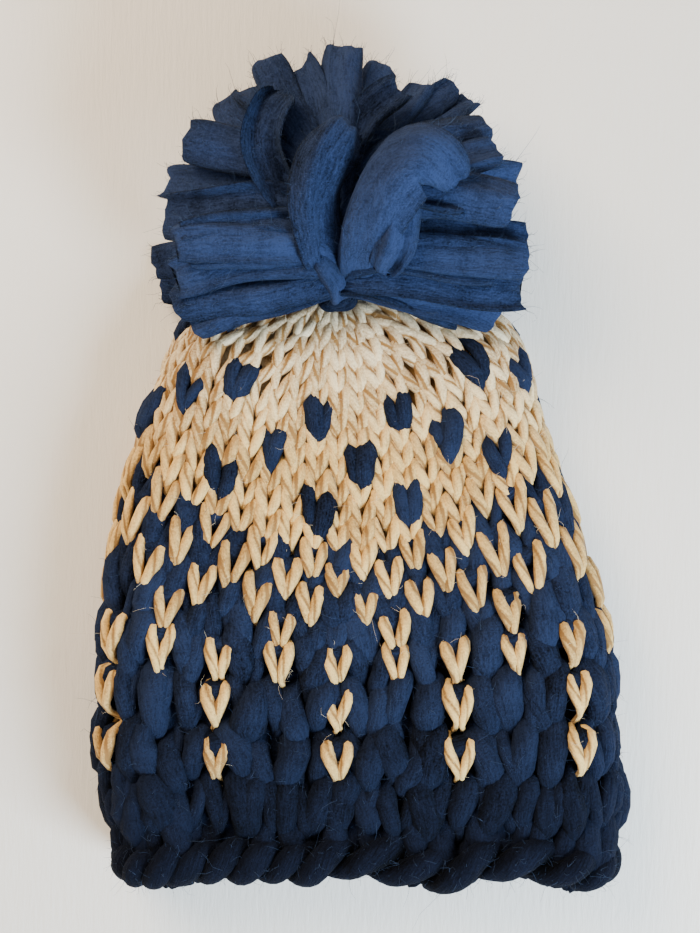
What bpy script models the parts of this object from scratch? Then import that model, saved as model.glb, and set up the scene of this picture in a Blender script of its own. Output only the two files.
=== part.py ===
"""Chunky knitted bobble hat, lying flat on its back on a surface.

Metres, +Z up. The surface is z = 0, +Y runs from the mouth of the hat to its pompom, +X is the wearer-side
right of the picture. The origin is on the flat underside of the crown, under the middle of the whole hat.

The knitted tube is described by rows (along it) and turns (round it): row -2 is the cast-on edge, row 20 is
the gathered top, and turn 0 is the middle of the upper layer, growing towards +X and round to 1.
"""

import math

import bmesh
import bpy
import numpy as np
from mathutils import Vector

# Driving dimensions
BRIM_WIDTH = 0.244  # across the widest row, lying flat
HAT_LENGTH = 0.265  # from the cast-on edge to the gather, along the middle of the upper layer
LYING_HEIGHT = 0.054  # both layers of the brim and the air between them
CAST_ON_Y = -HAT_LENGTH * 0.704  # middle of the cast-on edge
STITCHES_ROUND = 40
NAVY_WALL = 0.0165
CREAM_WALL = 0.0115
RIB_DEPTH = 0.0024  # how far the furrow between two wales lies under their ridges
ROW_DIP = 0.0016  # how far a thick navy row dips towards the next
ROPE_THICKNESS = 0.0205
ROPE_TWIST_BULGE = 0.16  # share by which the rope's lobes stand out
GAP = 0.0003
SLIVER = 0.000002  # edges shorter than this are folded away where strips meet

# Rows at which the pieces of the tube meet or end
EDGE_ROW = -2.0
BRIM_FOOT_ROW = -1.55
COLOUR_CHANGE_ROW = 5.5
TOP_ROW = 20.0
CREAM_LINING_TOP_ROW = 16.5

COLUMNS_PER_STITCH = 2
ROPE_STATIONS_PER_STITCH = 3
ROPE_SIDES = 8

# The tube's sections. front, bow: shares of HAT_LENGTH, the height of the row at the middle of a layer and how
# much higher its ends lie. lean, width: shares of BRIM_WIDTH, the shift of the middle and the full width.
# depth, rise: shares of LYING_HEIGHT, the full thickness and the lift of the middle off a layer that lies flat.
SECTION_COLUMNS = ("row", "front", "bow", "lean", "width", "depth", "rise")
SECTIONS = (
    (-2.0, 0.000, 0.000, 0.010, 0.925, 0.96, 0.00),
    (-1.0, 0.054, 0.003, 0.008, 0.970, 1.00, 0.00),
    (1.0, 0.207, 0.021, -0.003, 0.995, 1.00, 0.00),
    (3.0, 0.372, 0.052, -0.013, 0.957, 0.98, 0.00),
    (5.0, 0.469, 0.104, -0.024, 0.890, 0.95, 0.00),
    (7.0, 0.543, 0.156, -0.032, 0.812, 0.91, 0.00),
    (9.0, 0.623, 0.177, -0.032, 0.748, 0.88, 0.00),
    (11.0, 0.707, 0.177, -0.025, 0.696, 0.87, 0.00),
    (13.0, 0.778, 0.174, -0.024, 0.620, 0.86, 0.00),
    (15.0, 0.852, 0.142, -0.035, 0.450, 0.82, 0.02),
    (17.0, 0.920, 0.087, -0.040, 0.270, 0.70, 0.10),
    (19.0, 0.979, 0.026, -0.042, 0.115, 0.42, 0.28),
    (20.0, 0.997, 0.007, -0.042, 0.050, 0.22, 0.38),
)

# The uneven lower edge. across: share of half the brim's width. rise: share of ROPE_THICKNESS, towards the crown.
SCALLOP_COLUMNS = ("across", "rise")
SCALLOPS = (
    (-1.00, -0.12),
    (-0.85, -0.15),
    (-0.55, 0.12),
    (-0.30, 0.06),
    (-0.05, 0.20),
    (0.28, -0.18),
    (0.54, 0.20),
    (0.85, -0.22),
    (1.00, -0.20),
)

# Pompom
NECK_ROW = 19.4  # where the neck stands on the upper layer of the gathered top
NECK_AXIS = Vector((0.0, 0.62, 0.78)).normalized()
NECK_LENGTH = 0.0150  # from the gathered top to where the strips are bound
NECK_RADIUS = 0.0070
TIE_THICKNESS = 0.0072
TIE_SEAT = 0.0009  # how far the wrap's underside stands above the neck's foot, on the furrows of the gathers
CORE_RADIUS = 0.0125
STRIP_REACH = 0.100  # of a long strip, in plan
POMPOM_HEIGHT = 0.110
STRIP_WIDTH = 0.0225
STRIP_ROOT_WIDTH = 0.0120
STRIP_THICKNESS = 0.0078
STRIP_ROOT_SHARE = 0.06  # where a strip starts, as a share of its length from the middle of the fan
STRIP_SPREAD_SHARE = 0.55  # where it reaches its full width
HOOK_SHARE = 0.65  # where its hook starts
STRIP_STATIONS = 5

# The strips that show, clockwise seen from above. bearing: degrees from +Y towards +X. reach, bend, hook: shares
# of STRIP_REACH, its length in plan, its sideways bow and how far the last third swings sideways. tip, arch:
# shares of POMPOM_HEIGHT, the height of the tip and the extra height half way. width: share of STRIP_WIDTH.
# roll: degrees that the tip is turned on its edge.
STRIP_COLUMNS = ("bearing", "reach", "tip", "arch", "bend", "width", "roll", "hook")
STRIPS = (
    (-106, 0.71, 0.45, 0.09, 0.03, 0.95, 10, 0.00),
    (-99, 0.76, 0.49, 0.11, -0.02, 1.10, -8, 0.00),
    (-90, 0.74, 0.56, 0.12, 0.02, 1.10, 6, 0.00),
    (-80, 0.74, 0.67, 0.09, -0.03, 1.00, -12, 0.00),
    (-72, 0.71, 0.82, 0.05, 0.08, 0.75, 60, -0.08),
    (-71, 0.83, 0.56, 0.11, 0.00, 1.20, 8, 0.00),
    (-61, 0.92, 0.40, 0.11, -0.02, 0.95, -20, 0.00),
    (-49, 0.92, 0.60, 0.09, 0.02, 1.15, 10, 0.00),
    (-35, 1.01, 0.33, 0.13, -0.04, 0.90, 30, 0.06),
    (-27, 0.97, 0.44, 0.11, 0.03, 0.85, -25, 0.00),
    (-19, 1.04, 0.56, 0.11, -0.03, 0.95, 15, 0.00),
    (-17, 0.82, 0.82, 0.07, -0.14, 0.80, -50, 0.10),
    (-9, 0.98, 0.58, 0.11, 0.02, 0.75, 40, 0.00),
    (2, 1.03, 0.62, 0.11, 0.00, 1.00, 0, 0.00),
    (12, 1.00, 0.47, 0.11, 0.03, 0.90, -20, 0.00),
    (18, 0.87, 0.71, 0.07, -0.04, 0.85, 20, 0.00),
    (24, 0.98, 0.44, 0.11, 0.02, 0.80, 35, 0.00),
    (31, 1.05, 0.40, 0.09, -0.02, 0.75, -35, 0.00),
    (37, 1.05, 0.36, 0.11, 0.02, 0.75, 40, 0.00),
    (45, 0.96, 0.53, 0.11, -0.03, 0.95, -10, 0.00),
    (53, 0.91, 0.64, 0.09, 0.03, 0.90, 15, 0.00),
    (62, 0.95, 0.47, 0.11, 0.00, 1.00, -15, 0.00),
    (69, 0.84, 0.76, 0.07, -0.03, 1.20, 5, 0.00),
    (79, 0.88, 0.56, 0.09, 0.02, 1.00, 20, 0.00),
    (87, 0.86, 0.62, 0.09, -0.02, 1.00, -10, 0.00),
    (95, 0.85, 0.51, 0.09, 0.02, 1.00, 12, 0.00),
    (102, 0.78, 0.45, 0.08, -0.03, 1.00, -8, 0.00),
    (-6, 0.62, 0.92, 0.07, -0.04, 1.20, 10, 0.00),
    (22, 0.61, 0.94, 0.11, -0.06, 1.20, -15, 0.12),
    (52, 0.26, 0.78, 0.04, 0.02, 1.00, 25, 0.00),
)

# The strips under them, in tiers that lie on the surface or just above it. first, last: bearings. The other
# columns are as above, and each strip differs a little, by the uneven shares.
TIER_COLUMNS = ("strips", "first", "last", "reach", "tip", "arch", "width")
TIERS = (
    (11, -90, 90, 0.88, 0.02, -0.11, 1.05),
    (9, -84, 84, 0.92, 0.22, 0.04, 0.95),
)
UNEVEN_REACH, UNEVEN_TIP, UNEVEN_BEND = 0.05, 0.03, 0.02
GOLDEN_ANGLE = math.pi * (3 - math.sqrt(5))

# Colours, roughness
CREAM = ((0.76, 0.62, 0.40, 1.0), 0.85)
NAVY = ((0.020, 0.040, 0.100, 1.0), 0.90)
BLUE = ((0.030, 0.070, 0.190, 1.0), 0.90)


def clear_scene():
    """Removes what the scene holds, so that the script can be run again."""
    for obj in list(bpy.data.objects):
        bpy.data.objects.remove(obj, do_unlink=True)


def collection(name, is_cutter=False):
    """A new collection in the scene. Cutters are left out of renders."""
    made = bpy.data.collections.new(name)
    bpy.context.scene.collection.children.link(made)
    made.hide_render = is_cutter
    return made


def material(name, finish):
    """A cloth material from a colour and a roughness."""
    colour, roughness = finish
    made = bpy.data.materials.new(name)
    made.use_nodes = True
    shader = made.node_tree.nodes["Principled BSDF"]
    shader.inputs["Base Color"].default_value = colour
    shader.inputs["Roughness"].default_value = roughness
    shader.inputs["Metallic"].default_value = 0.0
    made.diffuse_color = colour
    return made


def column(table, names, name):
    """One named column of a table, as an array."""
    return np.array([line[names.index(name)] for line in table], dtype=float)


def smooth_through(table, names, key, value, at):
    """The value column at any key, on a curve through the table's points that never overshoots them."""
    xs, ys = column(table, names, key), column(table, names, value)
    slopes = np.diff(ys) / np.diff(xs)
    tangents = np.zeros_like(ys)
    tangents[0], tangents[-1] = slopes[0], slopes[-1]
    before, after = slopes[:-1], slopes[1:]
    same_way = before * after > 0
    sums = np.where(same_way, before + after, 1.0)
    tangents[1:-1] = np.where(same_way, 2.0 * before * after / sums, 0.0)
    at = np.clip(at, xs[0], xs[-1])
    i = np.clip(np.searchsorted(xs, at, side="right") - 1, 0, len(slopes) - 1)
    span = xs[i + 1] - xs[i]
    t = (at - xs[i]) / span
    return (
        (1 + 2 * t) * (1 - t) ** 2 * ys[i]
        + t * (1 - t) ** 2 * span * tangents[i]
        + t * t * (3 - 2 * t) * ys[i + 1]
        + t * t * (t - 1) * span * tangents[i + 1]
    )


def section(name, row):
    """A column of SECTIONS at any row."""
    return smooth_through(SECTIONS, SECTION_COLUMNS, "row", name, row)


def oval(turn, half_width, half_height):
    """Points spaced evenly round a flat oval with round ends, from the middle of its top towards +X."""
    corner = np.minimum(half_width, half_height)
    flat, upright = half_width - corner, half_height - corner
    arc = corner * math.pi / 2
    quarter = np.mod(4 * turn, 4)
    part = np.floor(quarter)
    share = quarter - part
    share = np.where(part % 2 == 1, 1 - share, share)
    run = share * (flat + arc + upright)
    angle = np.clip((run - flat) / corner, 0, math.pi / 2)
    x = np.minimum(run, flat) + corner * np.sin(angle)
    z = corner * np.cos(angle) + upright - np.clip(run - flat - arc, 0, None)
    side = np.where(part >= 2, -1, 1)
    level = np.where((part == 1) | (part == 2), -1, 1)
    return side * x, level * z


def row_height(x, row):
    """How far along Y a row lies at x: bowed upwards at its ends, and scalloped near the cast-on edge."""
    share = (x / BRIM_WIDTH - section("lean", row)) / section("width", row) * 2
    scallop = smooth_through(SCALLOPS, SCALLOP_COLUMNS, "across", "rise", share) * ROPE_THICKNESS
    scallop = scallop * np.clip(row / EDGE_ROW, 0, 1)
    return CAST_ON_Y + (section("front", row) + section("bow", row) * share**2) * HAT_LENGTH + scallop


def fabric(turn, row, depth):
    """Points of the knitted tube, that far inside its outer ridges. No point lies under the surface."""
    half_width = section("width", row) * BRIM_WIDTH / 2
    half_height = section("depth", row) * LYING_HEIGHT / 2
    across, up = oval(turn, half_width - depth, half_height - depth)
    middle = half_height - RIB_DEPTH + section("rise", row) * LYING_HEIGHT
    x = section("lean", row) * BRIM_WIDTH + across
    return np.stack([x, row_height(x, row), np.maximum(middle + up, 0.0)], axis=-1)


def ribs(turn):
    """How deep the outside lies at a turn: nothing on the ridge of a wale, RIB_DEPTH in the furrow beside it."""
    return RIB_DEPTH * (1 - np.cos(2 * math.pi * STITCHES_ROUND * turn)) / 2


def mesh_object(name, bm, place, finish=None):
    """An object from a bmesh, with its normals out and its round faces shaded smooth."""
    bmesh.ops.recalc_face_normals(bm, faces=bm.faces)
    mesh = bpy.data.meshes.new(name)
    bm.to_mesh(mesh)
    bm.free()
    mesh.shade_smooth()
    mesh.set_sharp_from_angle(angle=math.radians(40))
    obj = bpy.data.objects.new(name, mesh)
    place.objects.link(obj)
    if finish:
        mesh.materials.append(material(name, finish))
    return obj


def loft(rings, is_closed_up):
    """A bmesh skin over rings of points of equal number. Its ends are capped, or joined to each other."""
    bm = bmesh.new()
    loops = [[bm.verts.new(point) for point in ring] for ring in rings]
    pairs = list(zip(loops, loops[1:]))
    if is_closed_up:
        pairs.append((loops[-1], loops[0]))
    for low, high in pairs:
        for i in range(len(low)):
            j = (i + 1) % len(low)
            bm.faces.new((low[i], low[j], high[j], high[i]))
    if not is_closed_up:
        bm.faces.new(loops[0])
        bm.faces.new(reversed(loops[-1]))
    return bm


def turns(count):
    """That many even turns, starting at the middle of the upper layer."""
    return np.arange(count) / count


def outer_rings(rows, dips=0.0):
    """Rings of the ribbed outside, one a row, each that much deeper at the half rows."""
    turn = turns(STITCHES_ROUND * COLUMNS_PER_STITCH)
    return [fabric(turn, row, ribs(turn) + dips * math.sin(math.pi * row) ** 2) for row in rows]


def lining_rings(rows, wall):
    """Rings of the smooth inside, one a row."""
    turn = turns(STITCHES_ROUND * COLUMNS_PER_STITCH)
    return [fabric(turn, row, wall) for row in rows]


def row_gap(row):
    """How many rows the gap between two pieces is, at a row."""
    rows = np.array([row - 0.5, row + 0.5])
    pitch = float(np.diff(section("front", rows))[0]) * HAT_LENGTH
    return GAP / pitch


def cream_crown(place):
    """The cream half of the tube, gathered shut at the top and open at the colour change."""
    foot = COLOUR_CHANGE_ROW
    outside = outer_rings(np.concatenate([[foot], np.arange(6.5, 20.0, 1.0), [TOP_ROW]]))
    inside = lining_rings(np.linspace(foot, CREAM_LINING_TOP_ROW, 5), CREAM_WALL)
    return mesh_object("cream_crown", loft(outside[::-1] + inside, False), place, CREAM)


def navy_brim(place):
    """The navy half of the tube, open at both ends, with a dip between its thick rows."""
    top = COLOUR_CHANGE_ROW - row_gap(COLOUR_CHANGE_ROW)
    outside = outer_rings(np.concatenate([[BRIM_FOOT_ROW], np.arange(-1.0, 5.1, 0.5), [top]]), ROW_DIP)
    inside = lining_rings(np.linspace(top, BRIM_FOOT_ROW, 4), NAVY_WALL)
    foot = lining_rings([BRIM_FOOT_ROW], NAVY_WALL / 2)
    return mesh_object("navy_brim", loft(outside + inside + foot, True), place, NAVY)


def cast_on_edge(place):
    """The rope-like cast-on row: a ring whose lobes lean, one a stitch, flattened against the brim."""
    radius = ROPE_THICKNESS / 2
    around = 2 * math.pi * turns(ROPE_SIDES)
    rings = []
    for turn in turns(STITCHES_ROUND * ROPE_STATIONS_PER_STITCH):
        swell = 1 + ROPE_TWIST_BULGE * np.cos(around - 2 * math.pi * STITCHES_ROUND * turn)
        depth = NAVY_WALL / 2 + radius * swell * np.cos(around)
        ring = fabric(np.full(ROPE_SIDES, turn), EDGE_ROW, depth)
        foot = row_height(ring[:, 0], BRIM_FOOT_ROW)
        ring[:, 1] = np.minimum(ring[:, 1] + radius * swell * np.sin(around), foot - 2 * GAP)
        rings.append(ring)
    return mesh_object("cast_on_edge", loft(rings, True), place, NAVY)


def along_neck(distance):
    """A point on the neck's axis, that far above the gathered top."""
    return Vector(fabric(0.0, NECK_ROW, 0.0)) + NECK_AXIS * distance


def strip_path(strip, shares):
    """Points along a strip at shares of its length, and unit vectors across it and out of its flat side."""
    bearing = math.radians(strip["bearing"])
    ahead = np.array([math.sin(bearing), math.cos(bearing), 0.0])
    aside = np.array([math.cos(bearing), -math.sin(bearing), 0.0])
    up = np.array([0.0, 0.0, 1.0])
    s = shares[:, None]
    hump = 4 * s * (1 - s)
    hooked = np.clip((s - HOOK_SHARE) / (1 - HOOK_SHARE), 0, 1) ** 2
    middle = np.array(along_neck(NECK_LENGTH))
    climb = strip["tip"] * POMPOM_HEIGHT - middle[2]
    points = (
        middle
        + strip["reach"] * STRIP_REACH * s * ahead
        + (strip["bend"] * hump + strip["hook"] * hooked) * STRIP_REACH * aside
        + (climb * s + strip["arch"] * POMPOM_HEIGHT * hump) * up
    )
    along = np.gradient(points, axis=0)
    along /= np.linalg.norm(along, axis=1, keepdims=True)
    level = np.cross(along, up)
    level /= np.linalg.norm(level, axis=1, keepdims=True)
    out = np.cross(level, along)
    roll = np.radians(strip["roll"]) * s
    across = level * np.cos(roll) + out * np.sin(roll)
    return points, across, np.cross(across, along)


def strip_mesh(strip):
    """One flat strip of roving: narrow where it is bound, wide and blunt at its tip."""
    shares = np.linspace(STRIP_ROOT_SHARE, 1.0, STRIP_STATIONS)
    points, across, out = strip_path(strip, shares)
    spread = np.clip(shares / STRIP_SPREAD_SHARE, 0, 1)
    width = (STRIP_ROOT_WIDTH + (strip["width"] * STRIP_WIDTH - STRIP_ROOT_WIDTH) * spread)[:, None]
    corners = ((1, 1), (-1, 1), (-1, -1), (1, -1))
    sides = [points + a * width / 2 * across + b * STRIP_THICKNESS / 2 * out for a, b in corners]
    rings = np.stack(sides, axis=1)
    rings[:, :, 2] = np.maximum(rings[:, :, 2], 0.0)
    return loft(rings, False)


def strips():
    """Every strip as named values: the ones that show, then the tiers under them."""
    found = [dict(zip(STRIP_COLUMNS, line)) for line in STRIPS]
    for line in TIERS:
        tier = dict(zip(TIER_COLUMNS, line))
        for i, bearing in enumerate(np.linspace(tier["first"], tier["last"], tier["strips"])):
            uneven = math.sin(GOLDEN_ANGLE * (i + tier["strips"]))
            strip = {name: tier[name] for name in ("reach", "tip", "arch", "width")}
            strip["reach"] *= 1 + UNEVEN_REACH * uneven
            strip["tip"] += UNEVEN_TIP * (1 + uneven)
            found.append(strip | {"bearing": bearing, "bend": UNEVEN_BEND * uneven, "roll": 0, "hook": 0})
    return found


def combine(target, others, operation):
    """A Boolean of the target with each of the others in turn, and the others made invisible guides."""
    for other in others:
        modifier = target.modifiers.new(other.name, "BOOLEAN")
        modifier.operation = operation
        modifier.object = other
        modifier.solver = "MANIFOLD"
        other.hide_render = True
        other.display_type = "WIRE"


def pompom_tie(place, name="pompom_tie", swell=0.0, finish=NAVY):
    """The wrap round the pompom's neck. With a swell it is the space that the wrap needs."""
    tilt = NECK_AXIS.to_track_quat("Z", "Y").to_euler()
    bpy.ops.mesh.primitive_torus_add(
        location=along_neck(TIE_THICKNESS / 2 + TIE_SEAT),
        rotation=tilt,
        major_radius=NECK_RADIUS + TIE_THICKNESS / 2,
        minor_radius=TIE_THICKNESS / 2 + swell,
        major_segments=16,
        minor_segments=8,
    )
    obj = bpy.context.object
    obj.name = obj.data.name = name
    for owner in list(obj.users_collection):
        owner.objects.unlink(obj)
    place.objects.link(obj)
    obj.data.shade_smooth()
    obj.data.materials.append(material(name, finish))
    return obj


def island(vertex):
    """Every vertex that edges join to this one, itself included."""
    found, edge_of = {vertex}, [vertex]
    while edge_of:
        near = {edge.other_vert(v) for v in edge_of for edge in v.link_edges} - found
        found |= near
        edge_of = list(near)
    return found


def fuse(obj):
    """Applies an object's Booleans and drops the sealed pockets of air that they leave between its strips."""
    graph = bpy.context.evaluated_depsgraph_get()
    mesh = bpy.data.meshes.new_from_object(obj.evaluated_get(graph))
    obj.modifiers.clear()
    obj.data = mesh
    bm = bmesh.new()
    bm.from_mesh(mesh)
    bmesh.ops.dissolve_degenerate(bm, dist=SLIVER, edges=bm.edges)
    islands, left = [], set(bm.verts)
    while left:
        islands.append(island(next(iter(left))))
        left -= islands[-1]
    outside = max(islands, key=len)
    bmesh.ops.delete(bm, geom=[v for v in bm.verts if v not in outside], context="VERTS")
    bm.to_mesh(mesh)
    bm.free()


def pompom(place, cutters):
    """Strips fused to a core and its neck, and trimmed where they lie on the crown and in the wrap."""
    bm = bmesh.new()
    bmesh.ops.create_icosphere(bm, subdivisions=1, radius=CORE_RADIUS)
    bmesh.ops.translate(bm, verts=bm.verts, vec=along_neck(NECK_LENGTH))
    obj = mesh_object("pompom", bm, place, BLUE)
    bm = bmesh.new()
    radius = NECK_RADIUS - GAP
    bmesh.ops.create_cone(bm, cap_ends=True, segments=10, radius1=radius, radius2=radius, depth=NECK_LENGTH)
    turned = NECK_AXIS.to_track_quat("Z", "Y").to_matrix()
    bmesh.ops.rotate(bm, verts=bm.verts, cent=Vector(), matrix=turned)
    bmesh.ops.translate(bm, verts=bm.verts, vec=along_neck(NECK_LENGTH / 2 + GAP))
    added = [mesh_object("neck", bm, cutters)]
    for i, strip in enumerate(strips()):
        added.append(mesh_object(f"strip_{i:02d}", strip_mesh(strip), cutters))
    combine(obj, added, "UNION")
    turn = turns(STITCHES_ROUND)
    rows = (7.0, 9.0, 11.0, 12.0, 13.0, 14.0, 15.0, 16.0, 17.0, 18.0, 19.0, TOP_ROW)
    room = mesh_object("crown_room", loft([fabric(turn, row, -GAP * 2) for row in rows], False), cutters)
    wrap_room = pompom_tie(cutters, "wrap_room", GAP)
    combine(obj, [room, wrap_room], "DIFFERENCE")
    fuse(obj)
    return obj


def build():
    """Makes the hat's pieces, and the cutters and guides in a collection of their own."""
    clear_scene()
    pieces = collection("bobble_hat")
    cutters = collection("cutters", is_cutter=True)
    cream_crown(pieces)
    navy_brim(pieces)
    cast_on_edge(pieces)
    pompom_tie(pieces)
    pompom(pieces, cutters)


build()
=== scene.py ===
"""Looks of a chunky knitted bobble hat that lies flat on its back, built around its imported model.

Metres, +Z up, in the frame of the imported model. The knitted tube is described by rows (along it) and turns
(round it): row -2 is the cast-on edge, row 20 the gathered top, and turn 0 the middle of the upper layer,
growing towards +X. Every stitch is a loop of yarn on that surface, so both sides of the fabric look knitted.
"""

import logging
import math
from dataclasses import dataclass, field
from enum import Enum

import bpy
import numpy as np
from numpy.typing import NDArray
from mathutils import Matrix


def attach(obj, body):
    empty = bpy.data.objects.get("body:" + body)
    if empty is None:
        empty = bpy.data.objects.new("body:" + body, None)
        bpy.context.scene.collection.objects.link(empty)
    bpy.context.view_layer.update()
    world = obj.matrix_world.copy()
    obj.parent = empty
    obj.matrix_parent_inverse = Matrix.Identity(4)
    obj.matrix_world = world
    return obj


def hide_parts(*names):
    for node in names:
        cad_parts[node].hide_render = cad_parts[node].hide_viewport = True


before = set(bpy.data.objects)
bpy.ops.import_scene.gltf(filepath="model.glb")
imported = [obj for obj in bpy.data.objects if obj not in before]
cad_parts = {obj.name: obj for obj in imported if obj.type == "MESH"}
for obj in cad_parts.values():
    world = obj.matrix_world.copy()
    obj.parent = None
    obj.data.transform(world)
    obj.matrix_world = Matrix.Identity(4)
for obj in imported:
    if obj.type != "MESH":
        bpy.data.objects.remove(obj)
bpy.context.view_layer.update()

log = logging.getLogger("bobble_hat")
Array = NDArray[np.float64]
Socket = bpy.types.NodeSocket
TAU = 2 * math.pi
STITCHES_ROUND = 40
TOP_ROW = 20.0
WIDEST_CHANCE = 1.8


def drawn_through(keys: Array, values: Array, at: Array) -> Array:
    """Values on a smooth curve through points, which never overshoots them.

    The curve is a cubic between each two points, and its slope at a point is the harmonic mean of the slopes
    beside it, or level where they differ in sign.

    Args:
        keys: Where the points lie, in rising order.
        values: The points' values.
        at: Where the curve is read.

    Returns:
        The curve's values, in the shape of at.
    """
    slopes = np.diff(values) / np.diff(keys)
    tangents = np.zeros_like(values)
    tangents[0], tangents[-1] = slopes[0], slopes[-1]
    before, after = slopes[:-1], slopes[1:]
    same_way = before * after > 0
    sums = np.where(same_way, before + after, 1.0)
    tangents[1:-1] = np.where(same_way, 2.0 * before * after / sums, 0.0)
    at = np.clip(at, keys[0], keys[-1])
    i = np.clip(np.searchsorted(keys, at, side="right") - 1, 0, len(slopes) - 1)
    span = keys[i + 1] - keys[i]
    t = (at - keys[i]) / span
    return (
        (1 + 2 * t) * (1 - t) ** 2 * values[i]
        + t * (1 - t) ** 2 * span * tangents[i]
        + t * t * (3 - 2 * t) * values[i + 1]
        + t * t * (t - 1) * span * tangents[i + 1]
    )


def unit(vectors: Array) -> Array:
    """Vectors along the last axis, each made one long."""
    return vectors / np.maximum(np.linalg.norm(vectors, axis=-1, keepdims=True), 1e-12)


@dataclass(frozen=True)
class Table:
    """Rows of numbers under named columns. The first column is the key.

    Args:
        names: The columns' names.
        rows: The rows, sorted by their key.
    """

    names: tuple[str, ...]
    rows: tuple[tuple[float, ...], ...]

    def column(self, name: str) -> Array:
        """One named column."""
        return np.array([row[self.names.index(name)] for row in self.rows], dtype=float)

    def read(self, name: str, at: Array) -> Array:
        """A named column on a smooth curve through the rows, read at any key."""
        return drawn_through(self.column(self.names[0]), self.column(name), np.asarray(at, dtype=float))


# front, bow: shares of the hat's length, the height of the row at the middle of a layer and how much
# higher its ends lie. lean, width: shares of the brim's width, the shift of the middle and the full width.
# depth, rise: shares of the lying height, the full thickness and the lift of the middle off a layer that
# lies flat.
SECTIONS = Table(
    ("row", "front", "bow", "lean", "width", "depth", "rise"),
    (
        (-2.0, 0.000, 0.000, 0.010, 0.925, 0.96, 0.00),
        (-1.0, 0.054, 0.003, 0.008, 0.970, 1.00, 0.00),
        (1.0, 0.207, 0.021, -0.003, 0.995, 1.00, 0.00),
        (3.0, 0.372, 0.052, -0.013, 0.957, 0.98, 0.00),
        (5.0, 0.469, 0.104, -0.024, 0.890, 0.95, 0.00),
        (7.0, 0.543, 0.156, -0.032, 0.812, 0.91, 0.00),
        (9.0, 0.623, 0.177, -0.032, 0.748, 0.88, 0.00),
        (11.0, 0.707, 0.177, -0.025, 0.696, 0.87, 0.00),
        (13.0, 0.778, 0.174, -0.024, 0.620, 0.86, 0.00),
        (15.0, 0.852, 0.142, -0.035, 0.450, 0.82, 0.02),
        (17.0, 0.920, 0.087, -0.040, 0.270, 0.70, 0.10),
        (19.0, 0.979, 0.026, -0.042, 0.115, 0.42, 0.28),
        (20.0, 0.997, 0.007, -0.042, 0.050, 0.22, 0.38),
    ),
)

# The uneven lower edge. across: share of half the brim's width. rise: share of the rope's thickness.
SCALLOPS = Table(
    ("across", "rise"),
    (
        (-1.00, -0.12),
        (-0.85, -0.15),
        (-0.55, 0.12),
        (-0.30, 0.06),
        (-0.05, 0.20),
        (0.28, -0.18),
        (0.54, 0.20),
        (0.85, -0.22),
        (1.00, -0.20),
    ),
)


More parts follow.
